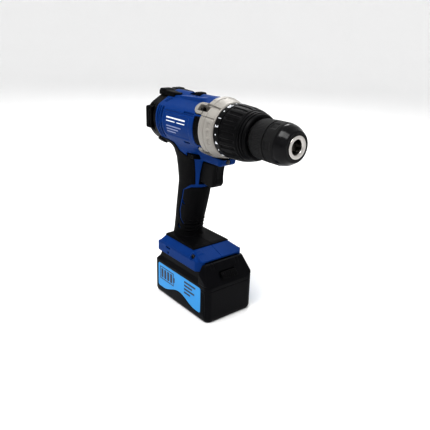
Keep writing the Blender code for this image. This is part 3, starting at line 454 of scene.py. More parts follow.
def repaint(look, *nodes):
    """Give kept CAD nodes a finer material."""
    for node in nodes:
        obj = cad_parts[node]
        for slot in obj.material_slots:
            slot.material = LOOKS[look]


# ---- housing

def handle_field(p):
    """The handle, from its sections."""
    middle, depth, width = [np.interp(p[2], HANDLE[:, 0], HANDLE[:, i]).astype(np.float32)
                            for i in (1, 2, 3)]
    reach = (np.abs((p[0] - middle) / depth) ** 2.5 + np.abs(p[1] / width) ** 2.5) ** 0.4
    return both((reach - 1) * np.minimum(depth, width), within(p[2], 80.0, 216.0))


def foot_field(p):
    """A straight band with a narrower sloping top set back on it."""
    side = np.abs(p[1])
    rise = p[2] - FOOT_SHOULDER
    band = block(p, (FOOT_REAR, -FOOT_HALF, FOOT_BOTTOM), (FOOT_FRONT, FOOT_HALF, FOOT_SHOULDER), 0.9)
    top = both((side + rise - FOOT_HALF + 1.8) / math.sqrt(2), p[2] - FOOT_TOP, 1.2)
    top = both(top, (9 * (p[0] - FOOT_FRONT + 1.0) + 25 * rise) / math.hypot(9, 25), 1.0)
    top = both(top, (5 * rise - 9 * (p[0] - FOOT_REAR - 1.5)) / math.hypot(9, 5), 1.0)
    walls = rounded(within(p[0], FOOT_REAR + 1.5, FOOT_FRONT - 1.0), side - FOOT_HALF + 1.8, 1.0)
    body = either(band, both(both(top, walls), FOOT_BOTTOM + 5 - p[2]))
    corner = (side + p[0] - FOOT_HALF - FOOT_FRONT + FOOT_CHAMFER) / math.sqrt(2)
    return both(body, corner, 0.8)


def barrel_field(p):
    """The barrel, a tube with flattened shoulders."""
    up = p[2] - AXIS_Z
    tube = np.hypot(p[1], up) - BARREL_RADIUS
    shoulder = (np.abs(p[1]) * math.cos(SHOULDER_ANGLE) + up * math.sin(SHOULDER_ANGLE)
                - SHOULDER_REACH)
    return both(tube, shoulder, 2.0)


def ridge_field(p):
    """The raised spine on top of the barrel, climbing a little to the front."""
    top = AXIS_Z + 30.4 + (p[0] + 28) * 0.055
    field = both(np.abs(p[1]) - RIDGE_HALF_WIDTH, p[2] - top, 2.5)
    field = both(field, p[0] + (p[2] - AXIS_Z - 26) * 1.2 - 17, 1.5)
    return both(field, AXIS_Z - p[2])


def snout_field(p):
    return block(p, (0, -13, 195.3), (43.6, 13, 216), 4.0)


def housing_outside(p):
    """The outer surface of the whole housing."""
    barrel = either(barrel_field(p), ridge_field(p), 0.8)
    barrel = both(barrel, within(p[0], BARREL_REAR_X, BARREL_FRONT_X), 0.6)
    field = either(barrel, handle_field(p), 6.0)
    field = either(field, snout_field(p), 2.0)
    return either(field, foot_field(p), 1.5)


def barrel_details(p, field):
    """Vents, panel, creases and the ribbed recess behind the gear case."""
    angle = side_angle(p)
    radius = np.hypot(p[1], p[2] - AXIS_Z)
    skin = BARREL_RADIUS - radius
    for x, half, floor in VENTS:
        slot = both(np.abs(p[0] - x) - half, (np.abs(angle + 5) - 34) * 0.6)
        field = without(field, both(slot, floor - radius), 0.4)
    for i in range(2):
        lean = np.abs(p[0] + 54.5 - 3.2 * i - (angle - 40) * 0.25) - 0.7
        field = without(field, both(lean, (np.abs(angle - 49) - 8) * 0.6), 0.3)
    panel = arc_patch(p, PANEL_X, PANEL_ANGLES, 2.0)
    field = without(field, both(panel, skin - 0.6), 0.3)
    crease = arc_patch(p, (-41.0, 17.0), (21.4, 23.2), 0.4)
    field = without(field, both(crease, skin - 0.8), 0.4)
    for x_range, middle in (((-4.0, 15.6), 26.5), ((-7.0, 5.0), -36.0)):
        slot = arc_patch(p, x_range, (middle - 1.8, middle + 1.8), 1.0)
        field = without(field, both(slot, skin - 1.4), 0.3)
    recess = arc_patch(p, (GRILLE_X[0] - 0.3, 31.0), GRILLE_ANGLES, 2.0)
    return without(field, both(recess, 31.0 - radius), 0.2)


def grille_field(p):
    """A ribbed insert in the barrel's side, just behind the gear case."""
    radius = np.hypot(p[1], p[2] - AXIS_Z)
    low, high = GRILLE_ANGLES
    body = both(arc_patch(p, GRILLE_X, (low + 0.5, high - 0.5), 1.7), within(radius, 31.3, 34.2), 0.4)
    grooves = np.abs((p[0] - GRILLE_X[0]) % 2.6 - 1.3) - 0.55
    body = without(body, both(grooves, 32.9 - radius), 0.2)
    return both(body, p[1])


def lump_field(p):
    """A small stop under the rear of the barrel."""
    radius = np.hypot(p[1], p[2] - AXIS_Z)
    return both(arc_patch(p, (-70.0, -58.5), (-64.0, -47.0), 2.5), within(radius, 32.0, 37.4), 1.5)


def foot_details(p, field):
    """Grooves, seams and small holes of the foot, and its room for the pack."""
    side = np.abs(p[1])
    groove = both(np.abs(p[2] - FOOT_SHOULDER + 0.6) - 0.45, np.maximum(p[0] - 24, 36.0 - side))
    field = without(field, groove, 0.3)
    seam = both(np.abs(side - 30 - (p[0] - 22) * 0.2) - 0.35, np.maximum(24 - p[0], 74 - p[2]))
    field = without(field, both(seam, -field - 0.7), 0.2)
    slot = block(p, (-33.5, -60, 72.4), (-24.0, 60, 74.2), 0.6)
    field = without(field, both(slot, 34.5 - side), 0.3)
    field = without(field, rod_y(p, 1.7, -28.6, 66.4, (-60, 60)), 0.2)
    field = without(field, block(p, (28, -26.5, 40), (80, 26.5, 74)))
    return without(field, block(p, (-49, -21.2, 55), (60, 21.2, 66.6)))


def lug_lobes(p, grow):
    """Rounded tabs of the gear case that reach back over the barrel."""
    field = None
    for degrees, middle in SIDE_LUGS:
        arc = (side_angle(p) - degrees) * BARREL_RADIUS * math.pi / 180
        lobe = np.hypot(np.maximum(middle - p[0], 0), arc) - LUG_LOBE - grow
        field = lobe if field is None else either(field, lobe)
    return field


def shell_field(p, screws):
    """The right half of the housing as a hollow shell."""
    outside = housing_outside(p)
    field = without(outside, outside + WALL)
    field = barrel_details(p, field)
    field = foot_details(p, field)
    radius = np.hypot(p[1], p[2] - AXIS_Z)
    field = without(field, both(lug_lobes(p, 0.4), 27.0 - radius))
    field = without(field, both(radius - CASE_RADIUS - 0.3, 28.7 - p[0]))
    opening = block(p, (-8, TRIGGER_LOW[1] - 0.5, TRIGGER_LOW[2] - 0.6),
                    (45, TRIGGER_HIGH[1] + 0.5, TRIGGER_HIGH[2] + 0.6))
    field = without(field, opening, 0.4)
    lever = block(p, (LEVER_LOW[0] - 3.5, -60, LEVER_LOW[2] - 0.5),
                  (LEVER_HIGH[0] + 3.5, 60, LEVER_HIGH[2] + 0.5), 0.4)
    field = without(field, lever, 0.3)
    field = selector_room(p, field)
    field = without(field, rod_x(p, 3.4, 0, (LIGHT_LOW[2] + LIGHT_HIGH[2]) / 2, (41, 50)), 0.3)
    for x, z, head_y in screws:
        ring = rod_y(p, 5.0, x, z, (head_y - 1.5, head_y + 14.0))
        field = either(field, both(ring, outside - 0.5), 0.8)
        field = without(field, rod_y(p, 3.5, x, z, (-60, head_y + 2.4)), 0.3)
    return both(field, p[1] + HALF_GAP)


def selector_room(p, field):
    """A pocket with a floor for the selector to slide in, and a slot for its stem."""
    low, high = SELECTOR_LOW[0] - SELECTOR_TRAVEL, SELECTOR_HIGH[0]
    field = either(field, block(p, (low - 2, -8, AXIS_Z + 27.4), (high + 2, 8, SELECTOR_FLOOR)))
    pocket = block(p, (low - 0.6, SELECTOR_LOW[1] - 0.5, SELECTOR_FLOOR),
                   (high + 0.6, SELECTOR_HIGH[1] + 0.5, AXIS_Z + 45), 0.6)
    field = without(field, pocket, 0.3)
    slot = block(p, (STEM_X[0] - SELECTOR_TRAVEL - 0.6, -STEM_HALF - 0.5, AXIS_Z + 26),
                 (STEM_X[1] + 0.6, STEM_HALF + 0.5, AXIS_Z + 45))
    return without(field, slot)


def blue_areas(p):
    """Where the blue shell shows between the handle's rubber: a line, a wave and a strip."""
    line = np.interp(p[2], STRIPE_Z, STRIPE_X)
    stripe = np.maximum(np.abs(p[0] - line) - 1.3, within(p[2], STRIPE_Z[0], STRIPE_Z[-1]))
    crest = np.interp(p[0], WAVE_X, WAVE_Z)
    thick = np.interp(p[0], [-24, -12, 0], [0.5, 1.6, 2.3])
    wave = np.maximum(np.abs(p[2] - crest) - thick, -25.0 - p[0])
    edge = np.interp(p[2], [160, 196], [-4.0, -0.5])
    strip = np.maximum(edge - p[0], 159.0 - p[2])
    neck = np.interp(p[0], NECK_X, NECK_Z)
    return either(either(stripe, wave), either(strip, neck - p[2]))


def rubber_field(p, screws):
    """The right half of the handle's soft cover; the two halves meet in the middle."""
    outside = housing_outside(p)
    ribs = np.where((p[2] > 93) & (p[2] < 113) & (p[0] > -22),
                    0.7 * np.cos((p[2] - 95.5) * 2 * math.pi / 5.0), 0.0)
    skin = without(outside - RUBBER_PROUD - ribs * 0.8, outside + 1.0)
    field = both(skin, -blue_areas(p), 0.8)
    field = both(field, 84.4 - p[2], 0.5)
    opening = block(p, (-9, -9.2, 162.4), (45, 9.2, 196.2))
    field = without(field, opening, 0.3)
    for x, z, _ in screws:
        field = without(field, rod_y(p, 3.4, x, z, (-60, 60)), 0.4)
    return both(field, p[1])


def make_shells():
    low, high = (-62.0, -39.0, 61.5), (45.0, 0.5, 275.0)
    right = moulded("shell_right", lambda p: shell_field(p, SCREW_PLACES[1:]), low, high)
    source = moulded("shell_source", lambda p: shell_field(p, []), low, high)
    left = mirrored("shell_left", source)
    bpy.data.objects.remove(source)
    dress(right, "blue", "housing", "housing_right")
    dress(left, "blue", "housing", "housing_left")


def make_grips():
    low, high = (-62, -40, 82), (16, 0.5, 217)
    right = moulded("grip_skin_right", lambda p: rubber_field(p, SCREW_PLACES[1:3]), low, high)
    source = moulded("grip_skin_source", lambda p: rubber_field(p, []), low, high)
    dress(mirrored("grip_skin_left", source), "rubber", "housing", "grip_left")
    dress(right, "rubber", "housing", "grip_right")
    bpy.data.objects.remove(source)


def make_rear_cap():
    rear = moulded("cap_skin", cap_field, (CAP_LOW[0] - 1, -38, AXIS_Z - 37),
                   (float(CAP_HIGH[0]) + 1, 38, AXIS_Z + 37))
    dress(rear, "black", "housing", "rear_cap")


def make_grilles():
    grille = moulded("grille_right", grille_field, (17, -36, AXIS_Z - 22), (30, 0, AXIS_Z + 18),
                     FINE_STEP)
    dress(mirrored("grille_left", grille), "black", "housing")
    dress(grille, "black", "housing")


def make_rear_stop():
    lump = moulded("rear_stop", lump_field, (-72, -28, AXIS_Z - 37), (-56, 28, AXIS_Z - 21))
    dress(lump, "black", "housing")


def make_pad():
    pad = moulded("pad_skin", pad_field, (-82, -18, AXIS_Z + 15), (-36, 18, 275))
    dress(pad, "rubber", "housing", "top_bumper")


def cap_field(p):
    """The rear cap: a rounded end with slots around its side and across its back."""
    radius = np.hypot(p[1], p[2] - AXIS_Z)
    outside = both(barrel_field(p) + 0.5, CAP_LOW[0] - p[0], 6.0)
    sides = block(p, (CAP_LOW[0] + 0.4, -36.0, AXIS_Z - 14), (-67, 36.0, AXIS_Z + 14), 2.5)
    outside = either(outside, sides, 1.0)
    field = without(outside, both(outside + 2.4, p[0] - 30))
    field = both(field, p[0] - CAP_HIGH[0])
    turn = np.arctan2(p[2] - AXIS_Z, p[1])
    spoke = np.abs((turn / (math.pi / 14)) % 1.0 - 0.5) * radius * math.pi / 14 - 1.0
    back = both(both(spoke, within(radius, 15.0, 25.0)), p[0] + 70)
    field = without(field, back, 0.4)
    for x in (-75.0, -71.0, -67.0):
        slot = both(np.abs(p[0] - x) - 0.9, np.abs(side_angle(p)) * 0.6 - 18)
        field = without(field, both(slot, 29.0 - radius), 0.4)
    hub = both(np.abs(radius - 11.0) - 0.6, p[0] - CAP_LOW[0] - 0.9)
    return without(field, hub, 0.3)


def pad_field(p):
    """The raised pad: a higher block at the rear and a low tongue narrowing to the front."""
    half = np.interp(p[0], [-47.0, -38.0], [15.6, 11.0]).astype(np.float32)
    top = AXIS_Z + np.interp(p[0], [-80.0, -77.0, -67.5, -65.5, -40.0],
                             [31.5, 34.6, 34.6, 33.2, 32.0]).astype(np.float32)
    body = both(np.abs(p[1]) - half, p[2] - top, 2.0)
    body = both(body, within(p[0], BUMPER_LOW[0] - 1.2, BUMPER_HIGH[0]), 2.5)
    inner = either(barrel_field(p), ridge_field(p))
    return without(both(body, AXIS_Z + 20 - p[2]), inner - 0.15)


# ---- gear case and clutch

def fold_angle(angle):
    """Degrees from either side of the tool, 90 at the top."""
    return np.degrees(np.arctan2(np.sin(angle), np.abs(np.cos(angle))))


def patch(x, angle, x_range, angles, soft=0.35):
    """1 inside a patch of a turned skin, falling to 0 across its soft edge."""
    reach = 33 * math.pi / 180
    u = (x_range[1] - x_range[0]) / 2 - np.abs(x - sum(x_range) / 2)
    v = ((angles[1] - angles[0]) / 2 - np.abs(angle - sum(angles) / 2)) * reach
    return np.clip(np.minimum(u, v) / soft + 0.5, 0, 1)


def case_relief(x, r, angle):
    """The cast case's raised band, sunk marks, grooves and screw lugs."""
    side = fold_angle(angle)
    change = np.zeros(np.broadcast(x, angle).shape)
    skin = (x > 28.9) & (r > 31.0)
    raised = patch(x, side, (39.5, 49.2), (-31, 25), 0.8) * 0.5
    for middle in (-19.0, -3.0, 13.0):
        raised -= patch(x, side, (42.5, 46.5), (middle - 5.5, middle + 5.5), 0.8)
    ridge = np.clip((RIDGE_HALF_WIDTH - np.abs(r * np.cos(angle))) / 0.8, 0, 1)
    ridge = ridge * (np.sin(angle) > 0) * np.clip((45.0 - x) / 12, 0, 1) * 0.5
    line = patch(x, side, (36.8, 37.8), (-89, 89)) * -0.8
    rim = patch(x, side, (49.6, 50.2), (-90, 90)) * -0.5
    ledge = patch(x, side, (29.0, 49.0), (27.0, 29.0)) * -1.0
    slot = patch(x, side, (27.0, 49.0), (49.5, 54.5), 0.6) * -2.4
    change += np.where(skin, raised + ridge + line + rim + ledge + slot, 0)
    sleeve = (r > 27.5) & (r < 29.0) & (x > 10) & (x < 30)
    for degrees, middle in SIDE_LUGS:
        arc = (side - degrees) * BARREL_RADIUS * math.pi / 180
        lobe = LUG_LOBE - np.hypot(np.maximum(middle - x, 0), arc)
        change = np.where(sleeve & (lobe > 0), np.sqrt(np.clip(lobe, 0, 0.8) / 0.8) * 6.8, change)
        across = LUG_CIRCLE * np.sin(np.radians(side - degrees))
        floor = LUG_CIRCLE - np.sqrt(np.clip(3.6 ** 2 - across ** 2, 0, None))
        fade = np.clip((37 - x) / 3, 0, 1)
        cut = (np.abs(across) < 3.6) & (x > middle - 1.5) & (x < 37) & (r > 27.5)
        change = np.where(cut, (floor - r) * fade * (r + change > floor), change)
    return change


def make_gear_case():
    front = COLLAR_LOW[0] - 0.4
    profile = [
        (CASE_HIGH[0], 18.0), (front, 18.0), (front, 31.0), (front - 0.6, 31.6), (46.0, 32.6),
        (41.0, 33.9), (36.0, 35.0), (31.0, 35.3), (29.0, 34.9), (29.0, 28.4), (-9.0, 28.2),
        (-9.0, 26.2), (45.0, 26.2), (45.0, 13.0), (CASE_HIGH[0], 13.0)]
    case = lathe("case_skin", profile, case_relief)
    dress(case, "cast", "housing", "gear_case")


def collar_relief(x, r, angle):
    """Grip flutes around the collar's front part."""
    flutes = np.clip(np.cos(angle * 24) * 2.2 + 0.4, -1, 1)
    grip = np.clip((x - 61.8) / 2.0, 0, 1) * np.clip((84.0 - x) / 2.5, 0, 1)
    return np.where(r > 27.5, (flutes * 0.55 - 0.55) * grip, 0)


def make_collar():
    rear, front = COLLAR_LOW[0], COLLAR_HIGH[0]
    profile = [
        (front, 27.6), (front - 0.8, 28.4), (82.0, 29.2), (76.0, 30.2), (62.0, 31.0),
        (61.2, 31.0), (60.9, 30.3), (60.3, 30.3), (60.0, 31.1), (rear + 0.8, 31.0),
        (rear, 30.2), (rear, 25.6), (front - 4, 25.6), (front - 4, 18.4), (front, 18.4)]
    dress(lathe("collar_skin", profile, collar_relief), "black", "collar", "clutch_collar")
    dress(dial_marks(), "white", "collar")
    rear, front = RETAINER_LOW[0], RETAINER_HIGH[0]
    profile = [
        (front, 20.4), (front, 24.0), (front - 1.0, 25.0), (93.2, 25.9), (92.9, 25.3),
        (92.3, 25.3), (92.0, 26.4), (89.8, 27.0), (89.5, 26.3), (88.9, 26.3), (88.6, 27.4),
        (rear, 27.7), (rear, 18.4), (front - 3, 18.4)]
    dress(lathe("retainer_skin", profile), "black", "housing", "collar_retainer")


def dial_marks():
    """Numerals and dots around the collar's rear band, in one mesh."""
    bm = bmesh.new()
    for k in range(DIAL_PLACES):
        turn = math.radians(34 - 360 * k / DIAL_PLACES)
        if k == 0 or k % 2:
            curve = bpy.data.curves.new("numeral", "FONT")
            curve.body = str(k + 1)
            curve.align_x, curve.align_y = "CENTER", "CENTER"
            curve.size = NUMERAL_SIZE
            curve.extrude = 0.25
            curve.offset = 0.05
            text = new_object("numeral", curve)
            bpy.context.view_layer.update()
            mesh = bpy.data.meshes.new_from_object(
                text.evaluated_get(bpy.context.evaluated_depsgraph_get()))
            bpy.data.objects.remove(text)
        else:
            dot = bmesh.new()
            bmesh.ops.create_cone(dot, cap_ends=True, segments=20, radius1=0.9, radius2=0.9,
                                  depth=0.5)
            mesh = bpy.data.meshes.new("dot")
            dot.to_mesh(mesh)
            dot.free()
        out = Vector((0, -math.cos(turn), math.sin(turn)))
        up = Vector((0, math.sin(turn), math.cos(turn)))
        centre = Vector((COLLAR_LOW[0] + 4.6, 0, AXIS_Z)) + out * 31.2
        place = Matrix(((-up.x, 1, out.x, centre.x), (-up.y, 0, out.y, centre.y),
                        (-up.z, 0, out.z, centre.z), (0, 0, 0, 1)))
        mesh.transform(place)
        bm.from_mesh(mesh)
    bmesh.ops.remove_doubles(bm, verts=bm.verts, dist=0.001)
    return from_bmesh("dial_marks", bm)


# ---- chuck

def grip_sleeve_relief(x, r, angle):
    """Six wide, shallow dents around the grip."""
    dents = np.clip(np.cos(angle * 6) * 2.2 - 0.5, 0, 1)
    along = np.clip((x - 121.5) / 1.2, 0, 1) * np.clip((131.0 - x) / 2.0, 0, 1)
    return np.where(r > 19.5, -dents * along * 0.9, 0)


def rear_sleeve_relief(x, r, angle):
    """Fine knurling."""
    along = np.clip((x - 99.5) / 1.0, 0, 1) * np.clip((117.0 - x) / 1.0, 0, 1)
    return np.where(r > 20.5, (np.cos(angle * 72) - 1) * 0.12 * along, 0)


def make_chuck():
    rear, front = REAR_SLEEVE_LOW[0], REAR_SLEEVE_HIGH[0]
    radius = REAR_SLEEVE_HIGH[1]
    profile = [(front, 18.4), (front, radius - 0.6), (front - 0.6, radius), (101.0, radius - 0.6),
               (98.6, radius - 1.2), (rear, 20.6), (rear, 18.4)]
    dress(lathe("rear_sleeve_skin", profile, rear_sleeve_relief), "grey", "spindle",
          "chuck_rear_sleeve")
    rear, front = FRONT_SLEEVE_LOW[0], FRONT_SLEEVE_HIGH[0]
    radius = FRONT_SLEEVE_HIGH[1]
    profile = [
        (134.2, 18.4), (134.2, radius - 0.9), (133.4, radius - 0.3), (131.5, radius),
        (rear + 1.6, radius), (rear + 0.6, radius - 0.5), (rear, radius - 1.0), (rear, 18.4)]
    dress(lathe("front_sleeve_grip", profile, grip_sleeve_relief), "grey", "chuck_sleeve",
          "chuck_front_sleeve")
    profile = [
        (front, 12.7), (front, 15.6), (front - 0.5, 16.4), (front - 1.2, 16.9), (143.5, 18.4),
        (140.5, 20.2), (137.4, 21.4), (136.2, 21.7), (134.8, 21.9), (134.3, 21.5),
        (134.3, 18.0), (137.0, 17.0), (142.0, 12.7)]
    dress(lathe("front_sleeve_cone", profile), "gloss", "chuck_sleeve")
    body = moulded("nose_body", nose_field, BODY_LOW - 1, BODY_HIGH + 1, FINE_STEP * 1.2)
    dress(body, "nose", "spindle", "chuck_body")


def nose_field(p):
    """The chuck's steel body, with its bore and three jaw slots."""
    radius = np.hypot(p[1], p[2] - AXIS_Z)
    outer = np.interp(p[0], [97.0, 99.0, 118.0, 136.0, 141.0, 149.0],
                      [16.0, 17.4, 17.4, 16.4, 12.3, 12.3]).astype(np.float32)
    field = both(radius - outer, within(p[0], BODY_LOW[0], BODY_HIGH[0]), 0.6)
    bore = np.interp(p[0], [107.9, 108.1, 146.6, 148.4], [6.3, 7.4, 7.4, 8.6]).astype(np.float32)
    field = without(field, radius - bore, 0.6)
    for k in range(3):
        turn = math.radians(90 + 120 * k)
        along = p[1] * math.cos(turn) + (p[2] - AXIS_Z) * math.sin(turn)
        across = -p[1] * math.sin(turn) + (p[2] - AXIS_Z) * math.cos(turn)
        reach = 11.45 - math.tan(math.radians(15)) * (p[0] - 124.0)
        slot = both(both(np.abs(across) - 3.35, along - reach), -along)
        field = without(field, both(slot, within(p[0], 105.6, 142.0)))
    return field


# ---- controls and screws

def trigger_field(p):
    """The trigger, a curved outline with two fine grooves down its front."""
    outline = [
        (0.0, 195.0), (0.0, 166.5), (9.0, 165.0), (19.0, 163.5), (24.5, 165.3), (27.2, 169.5),
        (26.8, 176.0), (27.2, 183.0), (28.8, 190.0), (30.5, 195.0)]
    side = outline_field(p[0], p[2], outline)
    field = both(side, np.abs(p[1]) - TRIGGER_HIGH[1], 3.0)
    groove = np.abs(np.abs(p[1]) - 4.6) - 0.45
    return without(field, both(groove, both(-side - 0.7, 18.0 - p[0])), 0.2)


def selector_field(p):
    """The speed selector's ribbed cap on its stem."""
    low = (SELECTOR_LOW[0], SELECTOR_LOW[1], SELECTOR_FLOOR + 0.3)
    base = block(p, low, SELECTOR_HIGH, 1.6)
    stem = block(p, (STEM_X[0], -STEM_HALF, SELECTOR_LOW[2]), (STEM_X[1], STEM_HALF, low[2] + 2))
    ribs = both(np.abs(p[0] % 2.4 - 1.2) - 0.55, SELECTOR_HIGH[2] - 0.9 - p[2])
    return either(without(base, ribs, 0.2), stem)


def lever_field(p):
    """The direction lever, ribbed at both ends."""
    body = block(p, LEVER_LOW, LEVER_HIGH, 0.8)
    ribs = both(np.abs(p[0] % 2.2 - 1.1) - 0.4, 20.9 - np.abs(p[1]))
    return without(body, ribs, 0.2)


def light_field(p):
    """The work light's domed lens."""
    x, z = LIGHT_HIGH[0], (LIGHT_LOW[2] + LIGHT_HIGH[2]) / 2
    dome = np.sqrt((p[0] - x + 6.5) ** 2 + p[1] ** 2 + (p[2] - z) ** 2) - 6.5
    return both(dome, both(np.hypot(p[1], p[2] - z) - 3.0, LIGHT_LOW[0] - p[0]), 0.2)


def screw_mesh():
    """A pan-head screw pointing along +Z, its head's top at the origin, with a cross recess."""
    def field(p):
        radius = np.hypot(p[0], p[1])
        head = both(radius - 2.9, within(p[2], -2.0, 0.0), 0.7)
        shank = both(radius - 1.5, within(p[2], -16.0, -1.0), 0.2)
        arm = np.minimum(np.maximum(np.abs(p[0]) - 0.45, np.abs(p[1]) - 1.7),
                         np.maximum(np.abs(p[1]) - 0.45, np.abs(p[0]) - 1.7))
        return without(either(head, shank), both(arm, -1.3 - p[2]), 0.15)
    obj = moulded("screw_source", field, (-3.6, -3.6, -16.6), (3.6, 3.6, 0.6), 0.22)
    mesh = obj.data
    bpy.data.objects.remove(obj)
    return mesh


def make_controls():
    skin("trigger", trigger_field, "black", "trigger", "trigger", FINE_STEP)
    skin("selector", selector_field, "black", "speed_selector", "speed_selector", FINE_STEP,
         (1, 1, 3))
    skin("lever", lever_field, "black", "direction_lever", "direction_lever", FINE_STEP)
    skin("light", light_field, "lens", "housing", "work_light", 0.2)


def make_screws():
    """The case's screws point along X and the housing's along Y."""
    mesh = screw_mesh()
    for kind, axis in (("case", "Y"), ("housing", "X")):
        for number in range(1, 5):
            node = f"{kind}_screw_{number}"
            low, high = span(node)
            middle = (low + high) / 2
            screw = new_object(f"{node}_skin", mesh.copy())
            if kind == "case":
                spot = (high[0], middle[1], middle[2])
            else:
                spot = (middle[0], low[1], middle[2])
            screw.data.transform(Matrix.Rotation(math.radians(90), 4, axis))
            screw.data.transform(Matrix.Translation(Vector(spot) * MM))
            dress(screw, "screw", "housing", node)


def make_barrel_marks():
    """Plain bars on the barrel's side panels."""
    pale = [((-36.0, 2.0), (8.5, 11.5)), ((-36.0, -18.0), (2.0, 4.0)), ((-14.0, 2.0), (2.0, 4.0))]
    dim = [((-36.0, -6.0), (-8.5, -6.0)), ((-36.0, -12.0), (-14.5, -12.0)),
           ((-36.0, -18.0), (-20.5, -18.0))]
    radius = BARREL_RADIUS - 0.55
    for name, look, marks in (("panel_pale", "white", pale), ("panel_dim", "violet", dim)):
        right = curved_marks(f"{name}_right", marks, radius)
        dress(mirrored(f"{name}_left", right), look, "housing")
        dress(right, look, "housing")


# ---- battery pack

def pack_outside(p, inset):
    """The pack's upright walls, with rounder corners in front than behind."""
    corner = np.maximum(np.where(p[0] > 0, *PACK_CORNERS) - inset, 0.8).astype(np.float32)
    return rounded(np.abs(p[0]) - TUB_HIGH[0] + inset, np.abs(p[1]) - TUB_HIGH[1] + inset, corner)


def tub_field(p):
    """The lower half of the pack, with ribs at its front corners."""
    outside = pack_outside(p, 0.0)
    bevel = outside + (3.5 - p[2]) * 0.65
    outside = both(both(outside, bevel, 1.5), within(p[2], 0.0, TUB_HIGH[2]), 0.6)
    field = without(outside, both(pack_outside(p, 2.2), 2.2 - p[2]))
    side = np.abs(p[1])
    for offset in (0.0, 2.6, 5.2):
        rib = both(np.abs(p[0] - 46.2 - offset * 0.9) - 0.5, within(p[2], 9.0, 41.0))
        field = without(field, both(both(rib, 30.0 - side), -outside - 0.6), 0.3)
    return without(field, label_room(p), 0.2)


def label_outline():
    """A plain plate with rounded corners and a shallow arch in its lower edge."""
    low, high = LABEL_X
    bottom, top = LABEL_Z
    points = []
    for x, z, start in ((high, top, 0), (low, top, 90), (low, bottom, 180), (high, bottom, 270)):
        if start == 270:
            points += [(LABEL_ARCH_MIDDLE + LABEL_ARCH_HALF * t,
                        bottom + LABEL_ARCH_RISE * (1 + math.cos(math.pi * t)) / 2)
                       for t in np.linspace(-1, 1, 17)]
        centre_x = x - math.copysign(LABEL_CORNER, x)
        centre_z = z - math.copysign(LABEL_CORNER, z - (bottom + top) / 2)
        for degrees in (start, start + 30, start + 60, start + 90):
            turn = math.radians(degrees)
            points.append((centre_x + LABEL_CORNER * math.cos(turn),
                           centre_z + LABEL_CORNER * math.sin(turn)))
    return points


LABEL_OUTLINE = label_outline()


def label_room(p):
    """The shallow recess that the label lies in, on both sides."""
    shape = outline_field(p[0], p[2], LABEL_OUTLINE) - 0.3
    return both(shape, TUB_HIGH[1] - LABEL_SINK - np.abs(p[1]))


def cover_field(p):
    """The upper half of the pack: sloping walls, front hump, tongue and rails."""
    low = TUB_HIGH[2] + 0.3
    side = np.abs(p[1])
    rise = p[2] - 48.6
    heights = [48.6, 54.0, 62.6]
    half = np.interp(p[2], heights, [37.5, 33.8, 32.8]).astype(np.float32)
    front = np.interp(p[2], heights, [57.4, 52.4, 45.0]).astype(np.float32)
    rear = np.interp(p[2], heights, [57.4, 53.4, 50.4]).astype(np.float32)
    ends = np.maximum(p[0] - front, -p[0] - rear)
    lower = rounded(ends, side - half, np.where(p[0] > 0, *PACK_CORNERS)) * 0.8
    lower = both(lower, p[2] - 62.6, 1.0)
    flare = (COVER_HIGH[2] - p[2]) * 0.55
    hump = both((side - 30.0 + (p[0] - 43) * 0.43 - flare) * 0.82, p[2] - COVER_HIGH[2], 1.5)
    hump = both(hump, 38.6 - p[0], 0.6)
    hump = both(hump, (p[0] - 43.0 + (p[2] - COVER_HIGH[2]) * 0.56) * 0.87, 1.5)
    outside = either(lower, both(hump, 50 - p[2]), 1.0)
    outside = both(outside, pack_outside(p, 0.0))
    tongue = block(p, (-28, -20.4, 58), (40, 20.4, 70.5), 0.5)
    rails = block(p, (-28, -25.0, 66.2), (25, 25.0, 69.5), 0.3)
    outside = either(outside, either(tongue, rails))
    field = without(outside, both(pack_outside(p, 2.2) + np.maximum(rise, 0) * 1.2, p[2] - 53.5))
    for y in (-11.0, 0.0, 11.0):
        field = without(field, block(p, (-29, y - 1.4, 66.6), (-8, y + 1.4, 71.5)))
    pocket = block(p, (46.0, -12.6, 54.6), (70.0, 12.6, 63.2), 0.6)
    field = without(field, pocket, 0.4)
    ribs = both(np.abs(p[1] % 5.0 - 2.5) - 0.5, both(within(side, 15.0, 23.0), 66 - p[2]))
    field = without(field, both(both(ribs, -outside - 0.5), 40.0 - p[0]), 0.3)
    field = without(field, label_room(p), 0.2)
    return both(field, low - p[2], 0.3)


def button_field(p):
    """The release button, with ribs for the thumb."""
    outline = [(50.6, 55.0), (56.4, 55.0), (55.2, 58.2), (51.6, 62.8), (50.6, 62.8)]
    field = both(outline_field(p[0], p[2], outline), np.abs(p[1]) - BUTTON_HIGH[1], 0.8)
    ribs = both(np.abs(p[1] % 3.0 - 1.5) - 0.4, 54.0 - p[0] + (58.0 - p[2]) * 0.5)
    return without(field, ribs, 0.2)


def plate_on_side(name, outline, depth, thick):
    """A flat outline in X and Z, laid on the pack's right side."""
    bm = bmesh.new()
    near, far = -TUB_HIGH[1] + depth, -TUB_HIGH[1] + depth - thick
    rows = [[bm.verts.new((x, y, z)) for x, z in outline] for y in (near, far)]
    for row in rows:
        bm.faces.new(row)
    for a, b in zip(range(len(outline)), list(range(1, len(outline))) + [0]):
        bm.faces.new((rows[0][a], rows[0][b], rows[1][b], rows[1][a]))
    bmesh.ops.recalc_face_normals(bm, faces=bm.faces)
    return from_bmesh(name, bm)


def make_pack():
    skin("tub", tub_field, "pack", "battery", "battery_tub")
    skin("cover", cover_field, "pack", "battery", "battery_cover")
    skin("button", button_field, "black", "battery_button", "battery_button", FINE_STEP)


